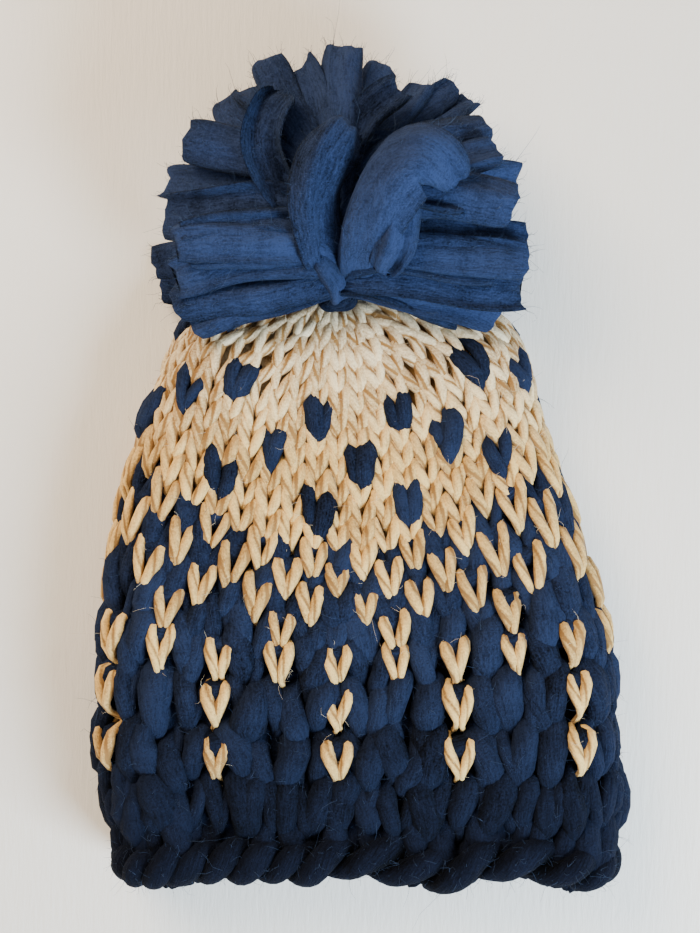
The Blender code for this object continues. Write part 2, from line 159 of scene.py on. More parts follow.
@dataclass(frozen=True)
class HatForm:
    """The surface of the knitted tube as it lies.

    Args:
        brim_width: Across the widest row.
        hat_length: From the cast-on edge to the gather, along the middle of the upper layer.
        lying_height: Both layers of the brim and the air between them.
        cast_on_share: How far below the origin the cast-on edge lies, as a share of the length.
        settled: How far the ridges of the lower layer are pressed flat.
        rope_thickness: Of the cast-on edge.
        first_wale_x: Where the straight wale in the middle of the pattern lies.
    """

    brim_width: float = 0.244
    hat_length: float = 0.265
    lying_height: float = 0.054
    cast_on_share: float = 0.704
    settled: float = 0.0024
    rope_thickness: float = 0.0205
    first_wale_x: float = -0.0102

    def section(self, name: str, row: Array) -> Array:
        """A column of the sections at any row."""
        return SECTIONS.read(name, row)

    def halves(self, row: Array) -> tuple[Array, Array]:
        """Half the width and half the thickness of the tube at a row."""
        width = self.section("width", row) * self.brim_width / 2
        return width, self.section("depth", row) * self.lying_height / 2

    def way_round(self, row: Array) -> Array:
        """The length of the way round the tube, a flat oval whose ends are quarter circles.

        Args:
            row: Row along the tube.

        Returns:
            The lengths: the straight parts of the oval and its four quarter circles.
        """
        half_width, half_height = self.halves(row)
        corner = np.minimum(half_width, half_height)
        return 4 * (half_width - corner + half_height - corner + corner * math.pi / 2)

    def pattern_turn(self, row: Array) -> Array:
        """The turn at which the pattern's first wale lies, because the tube lies a little twisted."""
        from_middle = self.first_wale_x - self.section("lean", row) * self.brim_width
        return from_middle / self.way_round(row)

    def row_height(self, x: Array, row: Array) -> Array:
        """How far along Y a row lies: bowed upwards at its ends by share^2, and scalloped near the edge.

        Args:
            x: Across the hat.
            row: Row along the tube.

        Returns:
            The places along Y.
        """
        share = (x / self.brim_width - self.section("lean", row)) / self.section("width", row) * 2
        scallop = SCALLOPS.read("rise", share) * self.rope_thickness * np.clip(row / -2.0, 0, 1)
        along = self.section("front", row) + self.section("bow", row) * share**2
        return (along - self.cast_on_share) * self.hat_length + scallop

    def surface(self, turn: Array, row: Array) -> tuple[Array, Array]:
        """Points of the outer surface and the unit vectors that point out of it.

        The section at a row is a flat oval with round ends. Its points are spaced evenly round it, from the
        middle of its top towards +X.

        Args:
            turn: Share of the way round.
            row: Row along the tube.

        Returns:
            The points and the outward vectors, each with a last axis of three.
        """
        half_width, half_height = self.halves(row)
        corner = np.minimum(half_width, half_height)
        flat, upright = half_width - corner, half_height - corner
        arc = corner * math.pi / 2
        quarter = np.mod(4 * turn, 4)
        part = np.floor(quarter)
        share = quarter - part
        share = np.where(part % 2 == 1, 1 - share, share)
        run = share * (flat + arc + upright)
        angle = np.clip((run - flat) / corner, 0, math.pi / 2)
        across = np.minimum(run, flat) + corner * np.sin(angle)
        up = corner * np.cos(angle) + upright - np.clip(run - flat - arc, 0, None)
        side = np.where(part >= 2, -1.0, 1.0)
        level = np.where((part == 1) | (part == 2), -1.0, 1.0)
        x = self.section("lean", row) * self.brim_width + side * across
        middle = half_height - self.settled + self.section("rise", row) * self.lying_height
        points = np.stack([x, self.row_height(x, row), middle + level * up], axis=-1)
        outward = np.stack([side * np.sin(angle), np.zeros_like(x), level * np.cos(angle)], axis=-1)
        return points, outward

    def within(self, turn: Array, row: Array, depth: Array) -> tuple[Array, Array]:
        """Points that far inside the outer surface, and the outward vectors there."""
        points, outward = self.surface(turn, row)
        return points - outward * np.asarray(depth)[..., None], outward


@dataclass(frozen=True)
class Tubes:
    """Round strands of yarn, as rings of points on a grid.

    Args:
        rings: Points by strand, station along it and side round it.
        along: How far along its strand each station lies, in centimetres.
        tone: One number from 0 to 1 a strand, for its shade.
    """

    rings: Array
    along: Array
    tone: Array

    def picked(self, which: NDArray[np.bool_]) -> "Tubes":
        """Some of the strands."""
        return Tubes(self.rings[which], self.along[which], self.tone[which])

    def mesh(self, name: str, is_loop: bool = False) -> bpy.types.Object:
        """Puts the strands into one mesh, with closed ends, a UV map and the tone.

        The UV map's first number runs along the strand in centimetres, its second is the share of the way
        round it.

        Args:
            name: The object's name.
            is_loop: Whether each strand's end joins its start.

        Returns:
            The object, linked to the scene.
        """
        tubes, stations, sides = self.rings.shape[:3]
        index = np.arange(tubes * stations * sides).reshape(tubes, stations, sides)
        spans = stations if is_loop else stations - 1
        here, ahead = index[:, :spans], np.roll(index, -1, 1)[:, :spans]
        quads = np.stack([here, np.roll(here, -1, 2), np.roll(ahead, -1, 2), ahead], axis=-1)
        caps = index[:0, 0] if is_loop else np.concatenate([index[:, 0, ::-1], index[:, -1]])
        corners = np.concatenate([quads.ravel(), caps.ravel()])
        sizes = np.concatenate([np.full(quads.size // 4, 4), np.full(len(caps), sides)])
        mesh = bpy.data.meshes.new(name)
        mesh.vertices.add(index.size)
        mesh.vertices.foreach_set("co", self.rings.ravel())
        mesh.loops.add(len(corners))
        mesh.loops.foreach_set("vertex_index", corners)
        mesh.polygons.add(len(sizes))
        mesh.polygons.foreach_set("loop_start", np.cumsum(sizes) - sizes)
        mesh.update(calc_edges=True)
        step = np.diff(self.along, axis=1, append=2 * self.along[:, -1:] - self.along[:, -2:-1])
        low = np.broadcast_to(self.along[:, :spans, None], here.shape)
        high = low + step[:, :spans, None]
        round_ = np.broadcast_to(np.arange(sides) / sides, here.shape)
        quad_u = np.stack([low, low, high, high], axis=-1)
        quad_v = np.stack([round_, round_ + 1 / sides, round_ + 1 / sides, round_], axis=-1)
        ends = np.concatenate([self.along[:, 0], self.along[:, -1]])
        cap_u = np.repeat(ends, sides)[: caps.size]
        cap_v = np.resize(np.arange(sides) / sides, caps.size)
        uv = np.stack([np.append(quad_u, cap_u), np.append(quad_v, cap_v)], axis=-1)
        mesh.uv_layers.new(name="yarn").data.foreach_set("uv", uv.ravel())
        tone = mesh.attributes.new("tone", "FLOAT", "POINT")
        tone.data.foreach_set("value", np.repeat(self.tone, stations * sides))
        mesh.shade_smooth()
        made = bpy.data.objects.new(name, mesh)
        bpy.context.scene.collection.objects.link(made)
        return made


def strands(path: Array, outward: Array, half_width: Array, half_height: Array, tone: Array) -> Tubes:
    """Carries a cross-section along paths.

    Each ring lies square to its path. Its width runs across the path along the surface, and its height points
    out of the surface: point = path + cos(angle) * half width * across + sin(angle) * half height * up.

    Args:
        path: Points by strand and station.
        outward: Vectors out of the surface, by strand and station.
        half_width: By strand, station and side.
        half_height: By strand, station and side.
        tone: By strand.

    Returns:
        The strands. No point lies under the surface that the hat lies on.
    """
    sides = half_width.shape[-1]
    ahead = unit(np.gradient(path, axis=1))
    across = unit(np.cross(outward, ahead))
    up = np.cross(ahead, across)
    angle = TAU * np.arange(sides) / sides
    rings = (
        path[:, :, None]
        + (half_width * np.cos(angle))[..., None] * across[:, :, None]
        + (half_height * np.sin(angle))[..., None] * up[:, :, None]
    )
    rings[..., 2] = np.maximum(rings[..., 2], 0.0)
    steps = np.linalg.norm(np.diff(path, axis=1), axis=-1)
    along = np.concatenate([np.zeros((len(path), 1)), np.cumsum(steps, axis=1)], axis=1) * 100
    return Tubes(rings, along, tone)


class Yarn(Enum):
    """The two yarns of the knitted tube, by their letter in the chart."""

    NAVY = "N"
    CREAM = "C"


# course, stitches round it, and the four wales that repeat round it: N is navy, C is cream.
CHART: tuple[tuple[int, int, str], ...] = (
    (-1, STITCHES_ROUND, "NNNN"),
    (0, STITCHES_ROUND, "NNNN"),
    (1, STITCHES_ROUND, "CNNN"),
    (2, STITCHES_ROUND, "CNNN"),
    (3, STITCHES_ROUND, "CNCN"),
    (4, STITCHES_ROUND, "NNCN"),
    (5, STITCHES_ROUND, "NCNC"),
    (6, STITCHES_ROUND, "CNCN"),
    (7, STITCHES_ROUND, "NCNC"),
    (8, STITCHES_ROUND, "CCCC"),
    (9, STITCHES_ROUND, "CCCN"),
    (10, STITCHES_ROUND, "CCCC"),
    (11, STITCHES_ROUND, "CNCC"),
    (12, STITCHES_ROUND, "CCCC"),
    (13, STITCHES_ROUND, "CCCN"),
    (14, 36, "CCCC"),
    (15, 32, "CCCC"),
    (16, 28, "CCCC"),
    (17, 22, "CCCC"),
    (18, 16, "CCCC"),
    (19, 10, "CCCC"),
)
FIRST_FULL_CREAM_COURSE = 8


@dataclass(frozen=True)
class Stitches:
    """Places of stitches in the chart.

    Args:
        course: Row of each stitch.
        turn: Where its middle lies, from the pattern's first wale.
        width: Its width as a share of the way round.
    """

    course: Array
    turn: Array
    width: Array

    @classmethod
    def of(cls, yarn: Yarn) -> "Stitches":
        """Every stitch of one yarn in the chart.

        Args:
            yarn: The yarn that is looked for.

        Returns:
            The places of its stitches, course by course.
        """
        course, turn, width = [], [], []
        for row, count, repeat in CHART:
            wales = np.array([i for i in range(count) if repeat[i % 4] == yarn.value], dtype=float)
            course.append(np.full(len(wales), float(row)))
            turn.append(wales / count)
            width.append(np.full(len(wales), 1 / count))
        return cls(np.concatenate(course), np.concatenate(turn), np.concatenate(width))


@dataclass(frozen=True)
class LoopShape:
    """How one yarn lies in a stitch. Lengths are in metres.

    Args:
        radius: Half the yarn's thickness.
        flatness: Its height as a share of its width.
        spread: How far the legs lean out, as a share of the stitch's width.
        leg: Length of a leg.
        front: How deep the middle of the yarn lies where it is foremost.
        back: How deep it lies behind.
        profile: The yarn's course from where it joins the next stitch (0) to the head of the loop (1): its
            depth, from 0 in front to 1 behind, and its thickness as a share of the radius.
        sides: Points round the yarn.
        uneven_size: How much the yarn's thickness differs from stitch to stitch, and from leg to leg.
        uneven_place: How far a stitch or a leg is off its place.
        lumps: How uneven the yarn itself is.
        ply: How much the plies stand out.
        ply_length: One turn of the plies round each other.
        by_course: For the courses, the thickness as a share of the radius, how much further forward the yarn
            lies in front, how much deeper it lies behind, how much of the unevenness of place there is, and
            how wide the top of the V is, as a share of its full width.
    """

    radius: float
    flatness: float
    spread: float
    leg: float
    front: float
    back: float
    profile: Table
    sides: int
    uneven_size: float
    uneven_place: float
    lumps: float
    ply: float
    ply_length: float
    by_course: Table


PLIED_PROFILE = Table(
    ("along", "depth", "thickness"),
    (
        (0.00, 1.00, 0.50),
        (0.14, 0.85, 0.50),
        (0.26, 0.30, 0.56),
        (0.42, 0.00, 0.96),
        (0.58, 0.02, 1.14),
        (0.70, 0.10, 0.98),
        (0.79, 0.58, 0.76),
        (0.87, 0.94, 0.60),
        (1.00, 1.00, 0.50),
    ),
)
ROVING_PROFILE = Table(
    ("along", "depth", "thickness"),
    (
        (0.00, 1.00, 0.45),
        (0.14, 0.85, 0.48),
        (0.27, 0.28, 0.66),
        (0.44, 0.00, 1.12),
        (0.62, 0.08, 1.15),
        (0.80, 0.55, 0.78),
        (1.00, 1.00, 0.45),
    ),
)
CREAM_BY_COURSE = Table(
    ("course", "thickness", "forward", "deeper", "uneven", "narrow"),
    (
        (1, 0.92, 0.0027, 0.0025, 1.0, 0.70),
        (4, 0.92, 0.0028, 0.0025, 1.0, 0.70),
        (6, 0.92, 0.0030, 0.0025, 1.0, 0.76),
        (7, 0.93, 0.0030, 0.0020, 1.0, 0.84),
        (8, 0.95, 0.0016, 0.0005, 1.0, 0.94),
        (10, 0.96, 0.0006, 0.0005, 1.0, 1.00),
        (13, 0.96, 0.0005, 0.0005, 0.9, 1.00),
        (15, 1.00, 0.0005, 0.0000, 0.6, 1.00),
        (17, 1.08, 0.0005, 0.0000, 0.5, 1.00),
        (19, 1.10, 0.0003, 0.0000, 0.5, 1.00),
    ),
)
NAVY_BY_COURSE = Table(
    ("course", "thickness", "forward", "deeper", "uneven", "narrow"),
    (
        (-1, 0.92, -0.0034, 0.0020, 1.0, 1.00),
        (0, 1.00, -0.0006, 0.0022, 1.0, 1.00),
        (1, 1.02, 0.0000, 0.0025, 1.0, 1.00),
        (3, 1.04, 0.0000, 0.0025, 1.0, 1.00),
        (5, 0.90, 0.0000, 0.0020, 0.8, 1.00),
        (7, 0.76, 0.0012, 0.0010, 0.6, 0.95),
        (9, 0.72, 0.0036, 0.0000, 0.4, 0.90),
        (13, 0.68, 0.0036, 0.0000, 0.3, 0.90),
    ),
)


@dataclass(frozen=True)
class KnittedFabric:
    """All stitches of the knitted tube, each a loop of its yarn, and the strands carried behind them.

    Args:
        form: The surface that they lie on.
        stations: Points along a loop.
        longest_reach: How far a loop may reach up and down, in rows.
        carried_radius: Half the thickness of the roving where it is carried behind a cream stitch.
        carried_depth: How deep it lies on either side of the stitch.
        carried_front: How deep it lies in the notch of the V.
        cream: How the plied yarn lies.
        navy: How the roving lies.
    """

    form: HatForm = field(default_factory=HatForm)
    stations: int = 21
    longest_reach: float = 1.4
    carried_radius: float = 0.0060
    carried_depth: float = 0.0125
    carried_front: float = 0.0050
    cream: LoopShape = LoopShape(
        radius=0.0027,
        flatness=0.95,
        spread=0.30,
        leg=0.0172,
        front=0.0027,
        back=0.0108,
        profile=PLIED_PROFILE,
        sides=8,
        uneven_size=0.06,
        uneven_place=0.0005,
        lumps=0.02,
        ply=0.085,
        ply_length=0.022,
        by_course=CREAM_BY_COURSE,
    )
    navy: LoopShape = LoopShape(
        radius=0.0050,
        flatness=0.90,
        spread=0.27,
        leg=0.0235,
        front=0.0043,
        back=0.0112,
        profile=ROVING_PROFILE,
        sides=12,
        uneven_size=0.19,
        uneven_place=0.0021,
        lumps=0.12,
        ply=0.0,
        ply_length=0.1,
        by_course=NAVY_BY_COURSE,
    )

    def row_pitch(self, course: Array) -> Array:
        """The distance from a course to the next, along the middle of the upper layer."""
        rise = self.form.section("front", course + 0.5) - self.form.section("front", course - 0.5)
        return np.maximum(rise * self.form.hat_length, 0.004)

    def loops(self, stitches: Stitches, shape: LoopShape, seed: int) -> Tubes:
        """The yarn of many stitches.

        A loop is drawn by an angle from 0 to a full turn: across = angle / full turn - 1/2 + spread *
        sin(2 * angle), and row = course - reach * cos(angle), so its two legs form a V whose tip points at
        the cast-on edge. Its depth and thickness follow the profile, from the sinker to the head and back.
        Chance moves the whole loop by sin(angle / 2)^2 and its two legs apart by sin(angle). A narrow V is
        drawn in by sin(angle / 2)^2 too, so its ends still meet those beside it.

        Args:
            stitches: Where they are.
            shape: How the yarn lies.
            seed: Of the unevenness.

        Returns:
            One strand a stitch, whose hidden ends meet those of the stitches beside it.
        """
        chance = np.random.default_rng(seed)
        count = len(stitches.course)
        course = stitches.course[:, None]
        angle = np.linspace(0, TAU, self.stations)
        half = 1 - np.abs(angle / math.pi - 1)
        hidden, legs = np.sin(angle / 2) ** 2, np.sin(angle)

        def varied(amount: float) -> Array:
            """Numbers of about that size from a bell curve with its ends cut off, one a stitch."""
            return amount * np.clip(chance.normal(0, 1, (count, 1)), -WIDEST_CHANCE, WIDEST_CHANCE)

        pitch = self.row_pitch(course)
        stitch_width = stitches.width[:, None] * self.form.way_round(course)
        reach = np.minimum(shape.leg / (math.sqrt(2) * pitch), self.longest_reach)
        across = (angle / TAU - 0.5) + shape.spread * (1 + varied(shape.uneven_size)) * np.sin(2 * angle)
        across = across * (1 - (1 - shape.by_course.read("narrow", course)) * hidden)
        off = shape.uneven_place * shape.by_course.read("uneven", course)
        across = across + off * (varied(1.0) * hidden + varied(1.0) * legs) / stitch_width
        row = course - reach * np.cos(angle) * (1 + varied(shape.uneven_size * 0.5))
        row = row + off * (varied(1.0) * hidden + varied(1.3) * legs) / pitch
        row = np.minimum(row, TOP_ROW)
        turn = stitches.turn[:, None] + stitches.width[:, None] * across + self.form.pattern_turn(row)
        front = shape.front - shape.by_course.read("forward", course)
        back = shape.back + shape.by_course.read("deeper", course)
        depth = front + (back - front) * shape.profile.read("depth", half)
        depth = depth + off * (varied(0.5) + varied(0.5) * legs) * hidden
        path, outward = self.form.within(turn, row, depth)
        size = 1 + varied(shape.uneven_size) + varied(shape.uneven_size) * legs
        size = size * shape.by_course.read("thickness", course)
        side = TAU * np.arange(shape.sides) / shape.sides
        phase = chance.uniform(0, TAU, (4, count, 1, 1))
        tone = chance.uniform(0, 1, count)
        station = half[None, :, None]
        lumps = np.sin(7 * station + phase[0]) * np.cos(side + phase[1])
        lumps = lumps + np.sin(13 * station + phase[2]) * np.cos(2 * side + phase[3])
        steps = np.linalg.norm(np.diff(path, axis=1), axis=-1)
        along = np.concatenate([np.zeros((count, 1)), np.cumsum(steps, axis=1)], axis=1)
        plies = np.cos(2 * side + TAU * (along[..., None] / shape.ply_length + tone[:, None, None]))
        radius = shape.radius * shape.profile.read("thickness", half)
        radius = radius[None, :, None] * size[:, :, None] * (1 + shape.lumps * lumps + shape.ply * plies)
        return strands(path, outward, radius, radius * shape.flatness, tone)

    def carried(self, seed: int) -> Tubes:
        """The roving carried behind each cream stitch of the fade, which bulges into the notch of its V.

        Its path runs across the stitch, across = 0.8 * share for a share from -1 to 1, at 0.3 of a leg above
        the middle of the stitch. It comes forward in the middle, by cos(share * a quarter turn)^2.

        Args:
            seed: Of the unevenness.

        Returns:
            One strand a stitch.
        """
        chance = np.random.default_rng(seed)
        cream = Stitches.of(Yarn.CREAM)
        is_fade = cream.course < FIRST_FULL_CREAM_COURSE
        course, middle = cream.course[is_fade][:, None], cream.turn[is_fade][:, None]
        width, count = cream.width[is_fade][:, None], int(is_fade.sum())
        share = np.linspace(-1, 1, 11)
        bulge = np.cos(share * math.pi / 2) ** 2
        pitch = self.row_pitch(course)
        above = np.minimum(0.30 * self.cream.leg / pitch, 0.6)
        slope = chance.uniform(-0.12, 0.12, (count, 1))
        row = course + above + slope * share
        turn = middle + width * 0.8 * share + self.form.pattern_turn(row)
        forward = (self.carried_depth - self.carried_front) * bulge
        depth = self.carried_depth - forward * chance.uniform(0.85, 1.1, (count, 1))
        path, outward = self.form.within(turn, row, depth)
        radius = self.carried_radius * (0.6 + 0.4 * bulge) * chance.uniform(0.85, 1.15, (count, 1))
        radius = radius[..., None] * np.ones(self.cream.sides)
        return strands(path, outward, radius, radius, chance.uniform(0, 0.6, count))

    def build(self) -> dict[str, bpy.types.Object]:
        """Makes the stitches of both yarns, those of the upper layer apart from those under them.

        Returns:
            The objects by their names.
        """
        made = {}
        for yarn, shape, seed in ((Yarn.CREAM, self.cream, 11), (Yarn.NAVY, self.navy, 12)):
            stitches = Stitches.of(yarn)
            tubes = self.loops(stitches, shape, seed)
            is_upper = np.cos(TAU * stitches.turn) > 0
            for side, which in (("upper", is_upper), ("lower", ~is_upper)):
                name = f"{yarn.name.lower()}_stitches_{side}"
                made[name] = tubes.picked(which).mesh(name)
        made["navy_carried_strands"] = self.carried(13).mesh("navy_carried_strands")
        for name, rows, outside, inside in (
            ("cream_wool_core", np.linspace(7.3, 19.6, 26), 0.0070, 0.0084),
            ("navy_wool_core", np.linspace(-1.8, 7.2, 20), 0.0088, 0.0108),
        ):
            made[name] = self.core(name, rows, outside, inside)
        return made

    def core(self, name: str, rows: Array, outside: float, inside: float) -> bpy.types.Object:
        """A thin wall in the middle of the fabric, where its yarns press together, so no light falls through.

        Its section runs up the rows on its outside and down them on its inside, with a small rib a stitch:
        depth = its own depth + rib * cos(stitches round * turn).

        Args:
            name: The object's name.
            rows: The rows that it spans, from its foot to its top.
            outside: How deep its outside lies.
            inside: How deep its inside lies.

        Returns:
            The wall as one object.
        """
        turn = np.arange(3 * STITCHES_ROUND) / (3 * STITCHES_ROUND)
        both = np.concatenate([rows, rows[::-1]])
        depth = np.concatenate([np.full(len(rows), outside), np.full(len(rows), inside)])
        rib = 0.0005 * np.cos(TAU * STITCHES_ROUND * turn)
        rings, _ = self.form.within(turn[None, :], both[:, None], depth[:, None] + rib)
        rings[..., 2] = np.maximum(rings[..., 2], 0.0005)
        rings = rings[None, :, ::-1]
        steps = np.linalg.norm(np.diff(rings[0, :, 0], axis=0), axis=-1)
        along = np.concatenate([[0.0], np.cumsum(steps)])[None] * 100
        return Tubes(rings, along, np.array([0.8])).mesh(name, is_loop=True)


@dataclass(frozen=True)
class CastOnRope:
    """The rope-like cast-on edge: two thick strands of roving laid round each other.

    Args:
        form: The surface that it runs along.
        stitches: Lobes round the whole edge if all were as small as a stitch.
        twist_radius: From the rope's middle to a strand's.
        strand_radius: Half the strand's thickness.
        depth: How deep the rope's middle lies in the fabric.
        tucked: How much deeper it lies at the sides of the brim.
        row: Where it runs.
        stations: Points along a strand.
        sides: Points round it.
        lobes: How many there are for each stitch, by the share of half the brim's width, on the upper layer.
    """

    form: HatForm = field(default_factory=HatForm)
    stitches: int = STITCHES_ROUND
    twist_radius: float = 0.0047
    strand_radius: float = 0.0058
    depth: float = 0.0062
    tucked: float = 0.0050
    row: float = -1.36
    stations: int = 480
    sides: int = 14
    lobes: Table = Table(
        ("across", "lobes"),
        ((-1.0, 1.0), (-0.3, 0.9), (0.0, 0.6), (0.6, 0.55), (1.0, 0.7)),
    )

    def build(self) -> bpy.types.Object:
        """Makes the rope.

        Each strand's path is the rope's middle + twist radius * (outward * cos(twist) + along the hat *
        sin(twist)). The twist is the running sum of the lobes passed, from 0 to a whole number of turns.

        Returns:
            The rope as one object.
        """
        chance = np.random.default_rng(31)
        turn = np.linspace(0, 1, self.stations + 1)
        across = np.interp(turn, (0, 0.25, 0.75, 1), (0, 1, -1, 0))
        rate = self.lobes.read("lobes", across)
        passed = np.concatenate([[0], np.cumsum((rate[1:] + rate[:-1]) / 2)])
        whole = round(passed[-1] / self.stations * self.stitches / 2)
        twist, turn = (TAU * passed / passed[-1] * whole)[:-1], turn[:-1]
        depth = self.depth + self.tucked * np.abs(across[:-1]) ** 5
        paths, outs, radii = [], [], []
        side = TAU * np.arange(self.sides) / self.sides
        for start in (0.0, math.pi):
            angle = twist + start
            points, outward = self.form.within(turn, np.full_like(turn, self.row), depth)
            swing = self.twist_radius * (1 + 0.15 * np.sin(5 * TAU * turn + start))
            points = points + outward * (swing * np.cos(angle))[:, None]
            points[:, 1] += swing * np.sin(angle)
            paths.append(points)
            outs.append(unit(outward * np.cos(angle)[:, None] + np.array([0, 1, 0]) * np.sin(angle)[:, None]))
            swell = 1 + 0.10 * np.cos(angle) + 0.09 * np.sin(17 * TAU * turn + chance.uniform(0, TAU))
            lumps = 0.05 * np.sin(31 * TAU * turn + start)[:, None] * np.cos(2 * side + start)
            radii.append(self.strand_radius * (swell[:, None] + lumps))
        radius = np.stack(radii)
        tubes = strands(np.stack(paths), np.stack(outs), radius, radius, np.array([0.35, 0.6]))
        return tubes.mesh("cast_on_rope", is_loop=True)


# The strips that show, clockwise seen from above. bearing: degrees from +Y towards +X. reach, bend, hook:
# shares of a long strip's reach, its length in plan, its sideways bow and how far its last third swings
# sideways. tip, arch: shares of the pompom's height, the height of the tip and the extra height half way.
# width: share of a full strip's width. roll: degrees that the strip is turned on its edge.
STRIPS = Table(
    ("bearing", "reach", "tip", "arch", "bend", "width", "roll", "hook"),
    (
        (-106, 0.71, 0.45, 0.045, 0.03, 1.15, 10, 0.00),
        (-99, 0.76, 0.49, 0.055, -0.02, 1.10, -8, 0.00),
        (-90, 0.74, 0.56, 0.060, 0.02, 1.10, 6, 0.00),
        (-80, 0.74, 0.67, 0.045, -0.03, 1.00, -12, 0.00),
        (-76, 0.72, 0.70, 0.025, 0.03, 0.60, 30, 0.00),
        (-71, 0.83, 0.56, 0.055, 0.00, 1.20, 8, 0.00),
        (-61, 0.92, 0.40, 0.055, -0.02, 0.95, -20, 0.00),
        (-49, 0.92, 0.60, 0.045, 0.02, 1.15, 10, 0.00),
        (-35, 1.01, 0.33, 0.065, -0.04, 0.90, 30, 0.06),
        (-27, 0.97, 0.44, 0.055, 0.03, 0.85, -25, 0.00),
        (-19, 1.04, 0.56, 0.055, -0.03, 0.95, 15, 0.00),
        (-9, 0.98, 0.58, 0.055, 0.02, 0.75, 40, 0.00),
        (2, 1.03, 0.62, 0.055, 0.00, 1.00, 0, 0.00),
        (12, 1.00, 0.47, 0.055, 0.03, 0.90, -20, 0.00),
        (18, 0.87, 0.71, 0.035, -0.04, 0.85, 20, 0.00),
        (24, 0.98, 0.44, 0.055, 0.02, 0.80, 35, 0.00),
        (31, 1.05, 0.40, 0.045, -0.02, 0.75, -35, 0.00),
        (37, 1.05, 0.36, 0.055, 0.02, 0.75, 40, 0.00),
        (45, 0.96, 0.53, 0.055, -0.03, 0.95, -10, 0.00),
        (53, 0.91, 0.64, 0.045, 0.03, 0.90, 15, 0.00),
        (62, 0.95, 0.47, 0.055, 0.00, 1.00, -15, 0.00),
        (69, 0.84, 0.76, 0.035, -0.03, 1.20, 5, 0.00),
        (79, 0.88, 0.56, 0.045, 0.02, 1.00, 20, 0.00),
        (87, 0.86, 0.62, 0.045, -0.02, 1.00, -10, 0.00),
        (95, 0.85, 0.51, 0.045, 0.02, 1.00, 12, 0.00),
        (103, 0.76, 0.45, 0.040, -0.03, 1.15, -8, 0.00),
    ),
)

# The strips under them, in tiers, as above. raised: how far up they bend over, as a share of the full way.
TIERS = Table(
    ("strips", "first", "last", "reach", "tip", "arch", "width", "raised"),
    (
        (9, -84, 84, 0.86, 0.24, 0.04, 0.95, 0.6),
        (11, -90, 90, 0.82, 0.02, -0.11, 1.05, 0.1),
    ),
)


# The lobes that rise in the middle of the pompom and fold over. Millimetres, in the hat's own frame. roll:
# degrees that the lobe is turned on its edge. curl: how far its edges stand up, as a share of its width.
LOBE_COLUMNS = ("share", "x", "y", "z", "width", "roll", "curl")
LOBES: dict[str, Table] = {
    "rising_lobe": Table(
        LOBE_COLUMNS,
        (
            (0.00, -11.0, 81.0, 50.0, 14, 0, 0.00),
            (0.20, -17.5, 96.0, 74.0, 22, -20, -0.10),
            (0.45, -19.0, 112.0, 90.0, 26, -25, -0.16),
            (0.70, -15.0, 127.0, 99.0, 26, -15, -0.22),
            (0.88, -9.0, 138.0, 100.0, 22, 0, -0.22),
            (1.00, -5.0, 144.0, 95.0, 17, 0, -0.15),
        ),
    ),
    "folded_lobe": Table(
        LOBE_COLUMNS,
        (
            (0.00, -5.0, 80.0, 50.0, 14, 0, 0.00),
            (0.18, -1.0, 95.0, 76.0, 24, 20, -0.06),
            (0.36, 5.0, 110.0, 94.0, 30, 28, -0.10),
            (0.56, 13.0, 123.0, 104.0, 33, 22, -0.14),
            (0.74, 23.0, 129.0, 105.0, 31, 0, -0.14),
            (0.88, 32.0, 126.0, 99.0, 27, -25, -0.10),
            (1.00, 39.5, 120.0, 90.0, 20, -40, -0.05),
        ),
    ),
    "short_lobe": Table(
        LOBE_COLUMNS,
        (
            (0.00, 4.0, 106.0, 76.0, 14, 0, 0.00),
            (0.35, 17.0, 110.0, 90.0, 18, 0, -0.12),
            (0.70, 15.0, 96.0, 87.0, 18, 0, -0.20),
            (1.00, 9.5, 85.0, 71.0, 14, 0, -0.20),
        ),
    ),
    "hollow_lobe": Table(
        LOBE_COLUMNS,
        (
            (0.00, -21.0, 107.0, 66.0, 12, 0, 0.20),
            (0.25, -35.0, 121.0, 78.0, 16, 10, 0.60),
            (0.55, -41.5, 139.0, 86.0, 18, 10, 0.70),
            (0.80, -38.0, 153.0, 87.0, 17, 5, 0.60),
            (1.00, -33.0, 160.0, 82.0, 13, 0, 0.30),
        ),
    ),
    "binding_end": Table(
        LOBE_COLUMNS,
        (
            (0.00, -20.0, 96.0, 68.0, 10, 0, -0.10),
            (0.40, -15.0, 88.0, 68.0, 13, 0, -0.20),
            (0.75, -10.5, 81.0, 62.0, 12, 0, -0.25),
            (1.00, -8.5, 74.5, 50.0, 10, 0, -0.20),
        ),
    ),
}

# Where the strips bend over and fan out, by how many degrees they bear to either side: how far towards the
# top of the pompom from its neck, and how high. Millimetres.
SPINE = Table(
    ("bearing", "up", "height"),
    ((0, 42, 82), (45, 42, 80), (68, 33, 78), (82, 17, 70), (95, 5, 61), (106, -3, 54)),
)


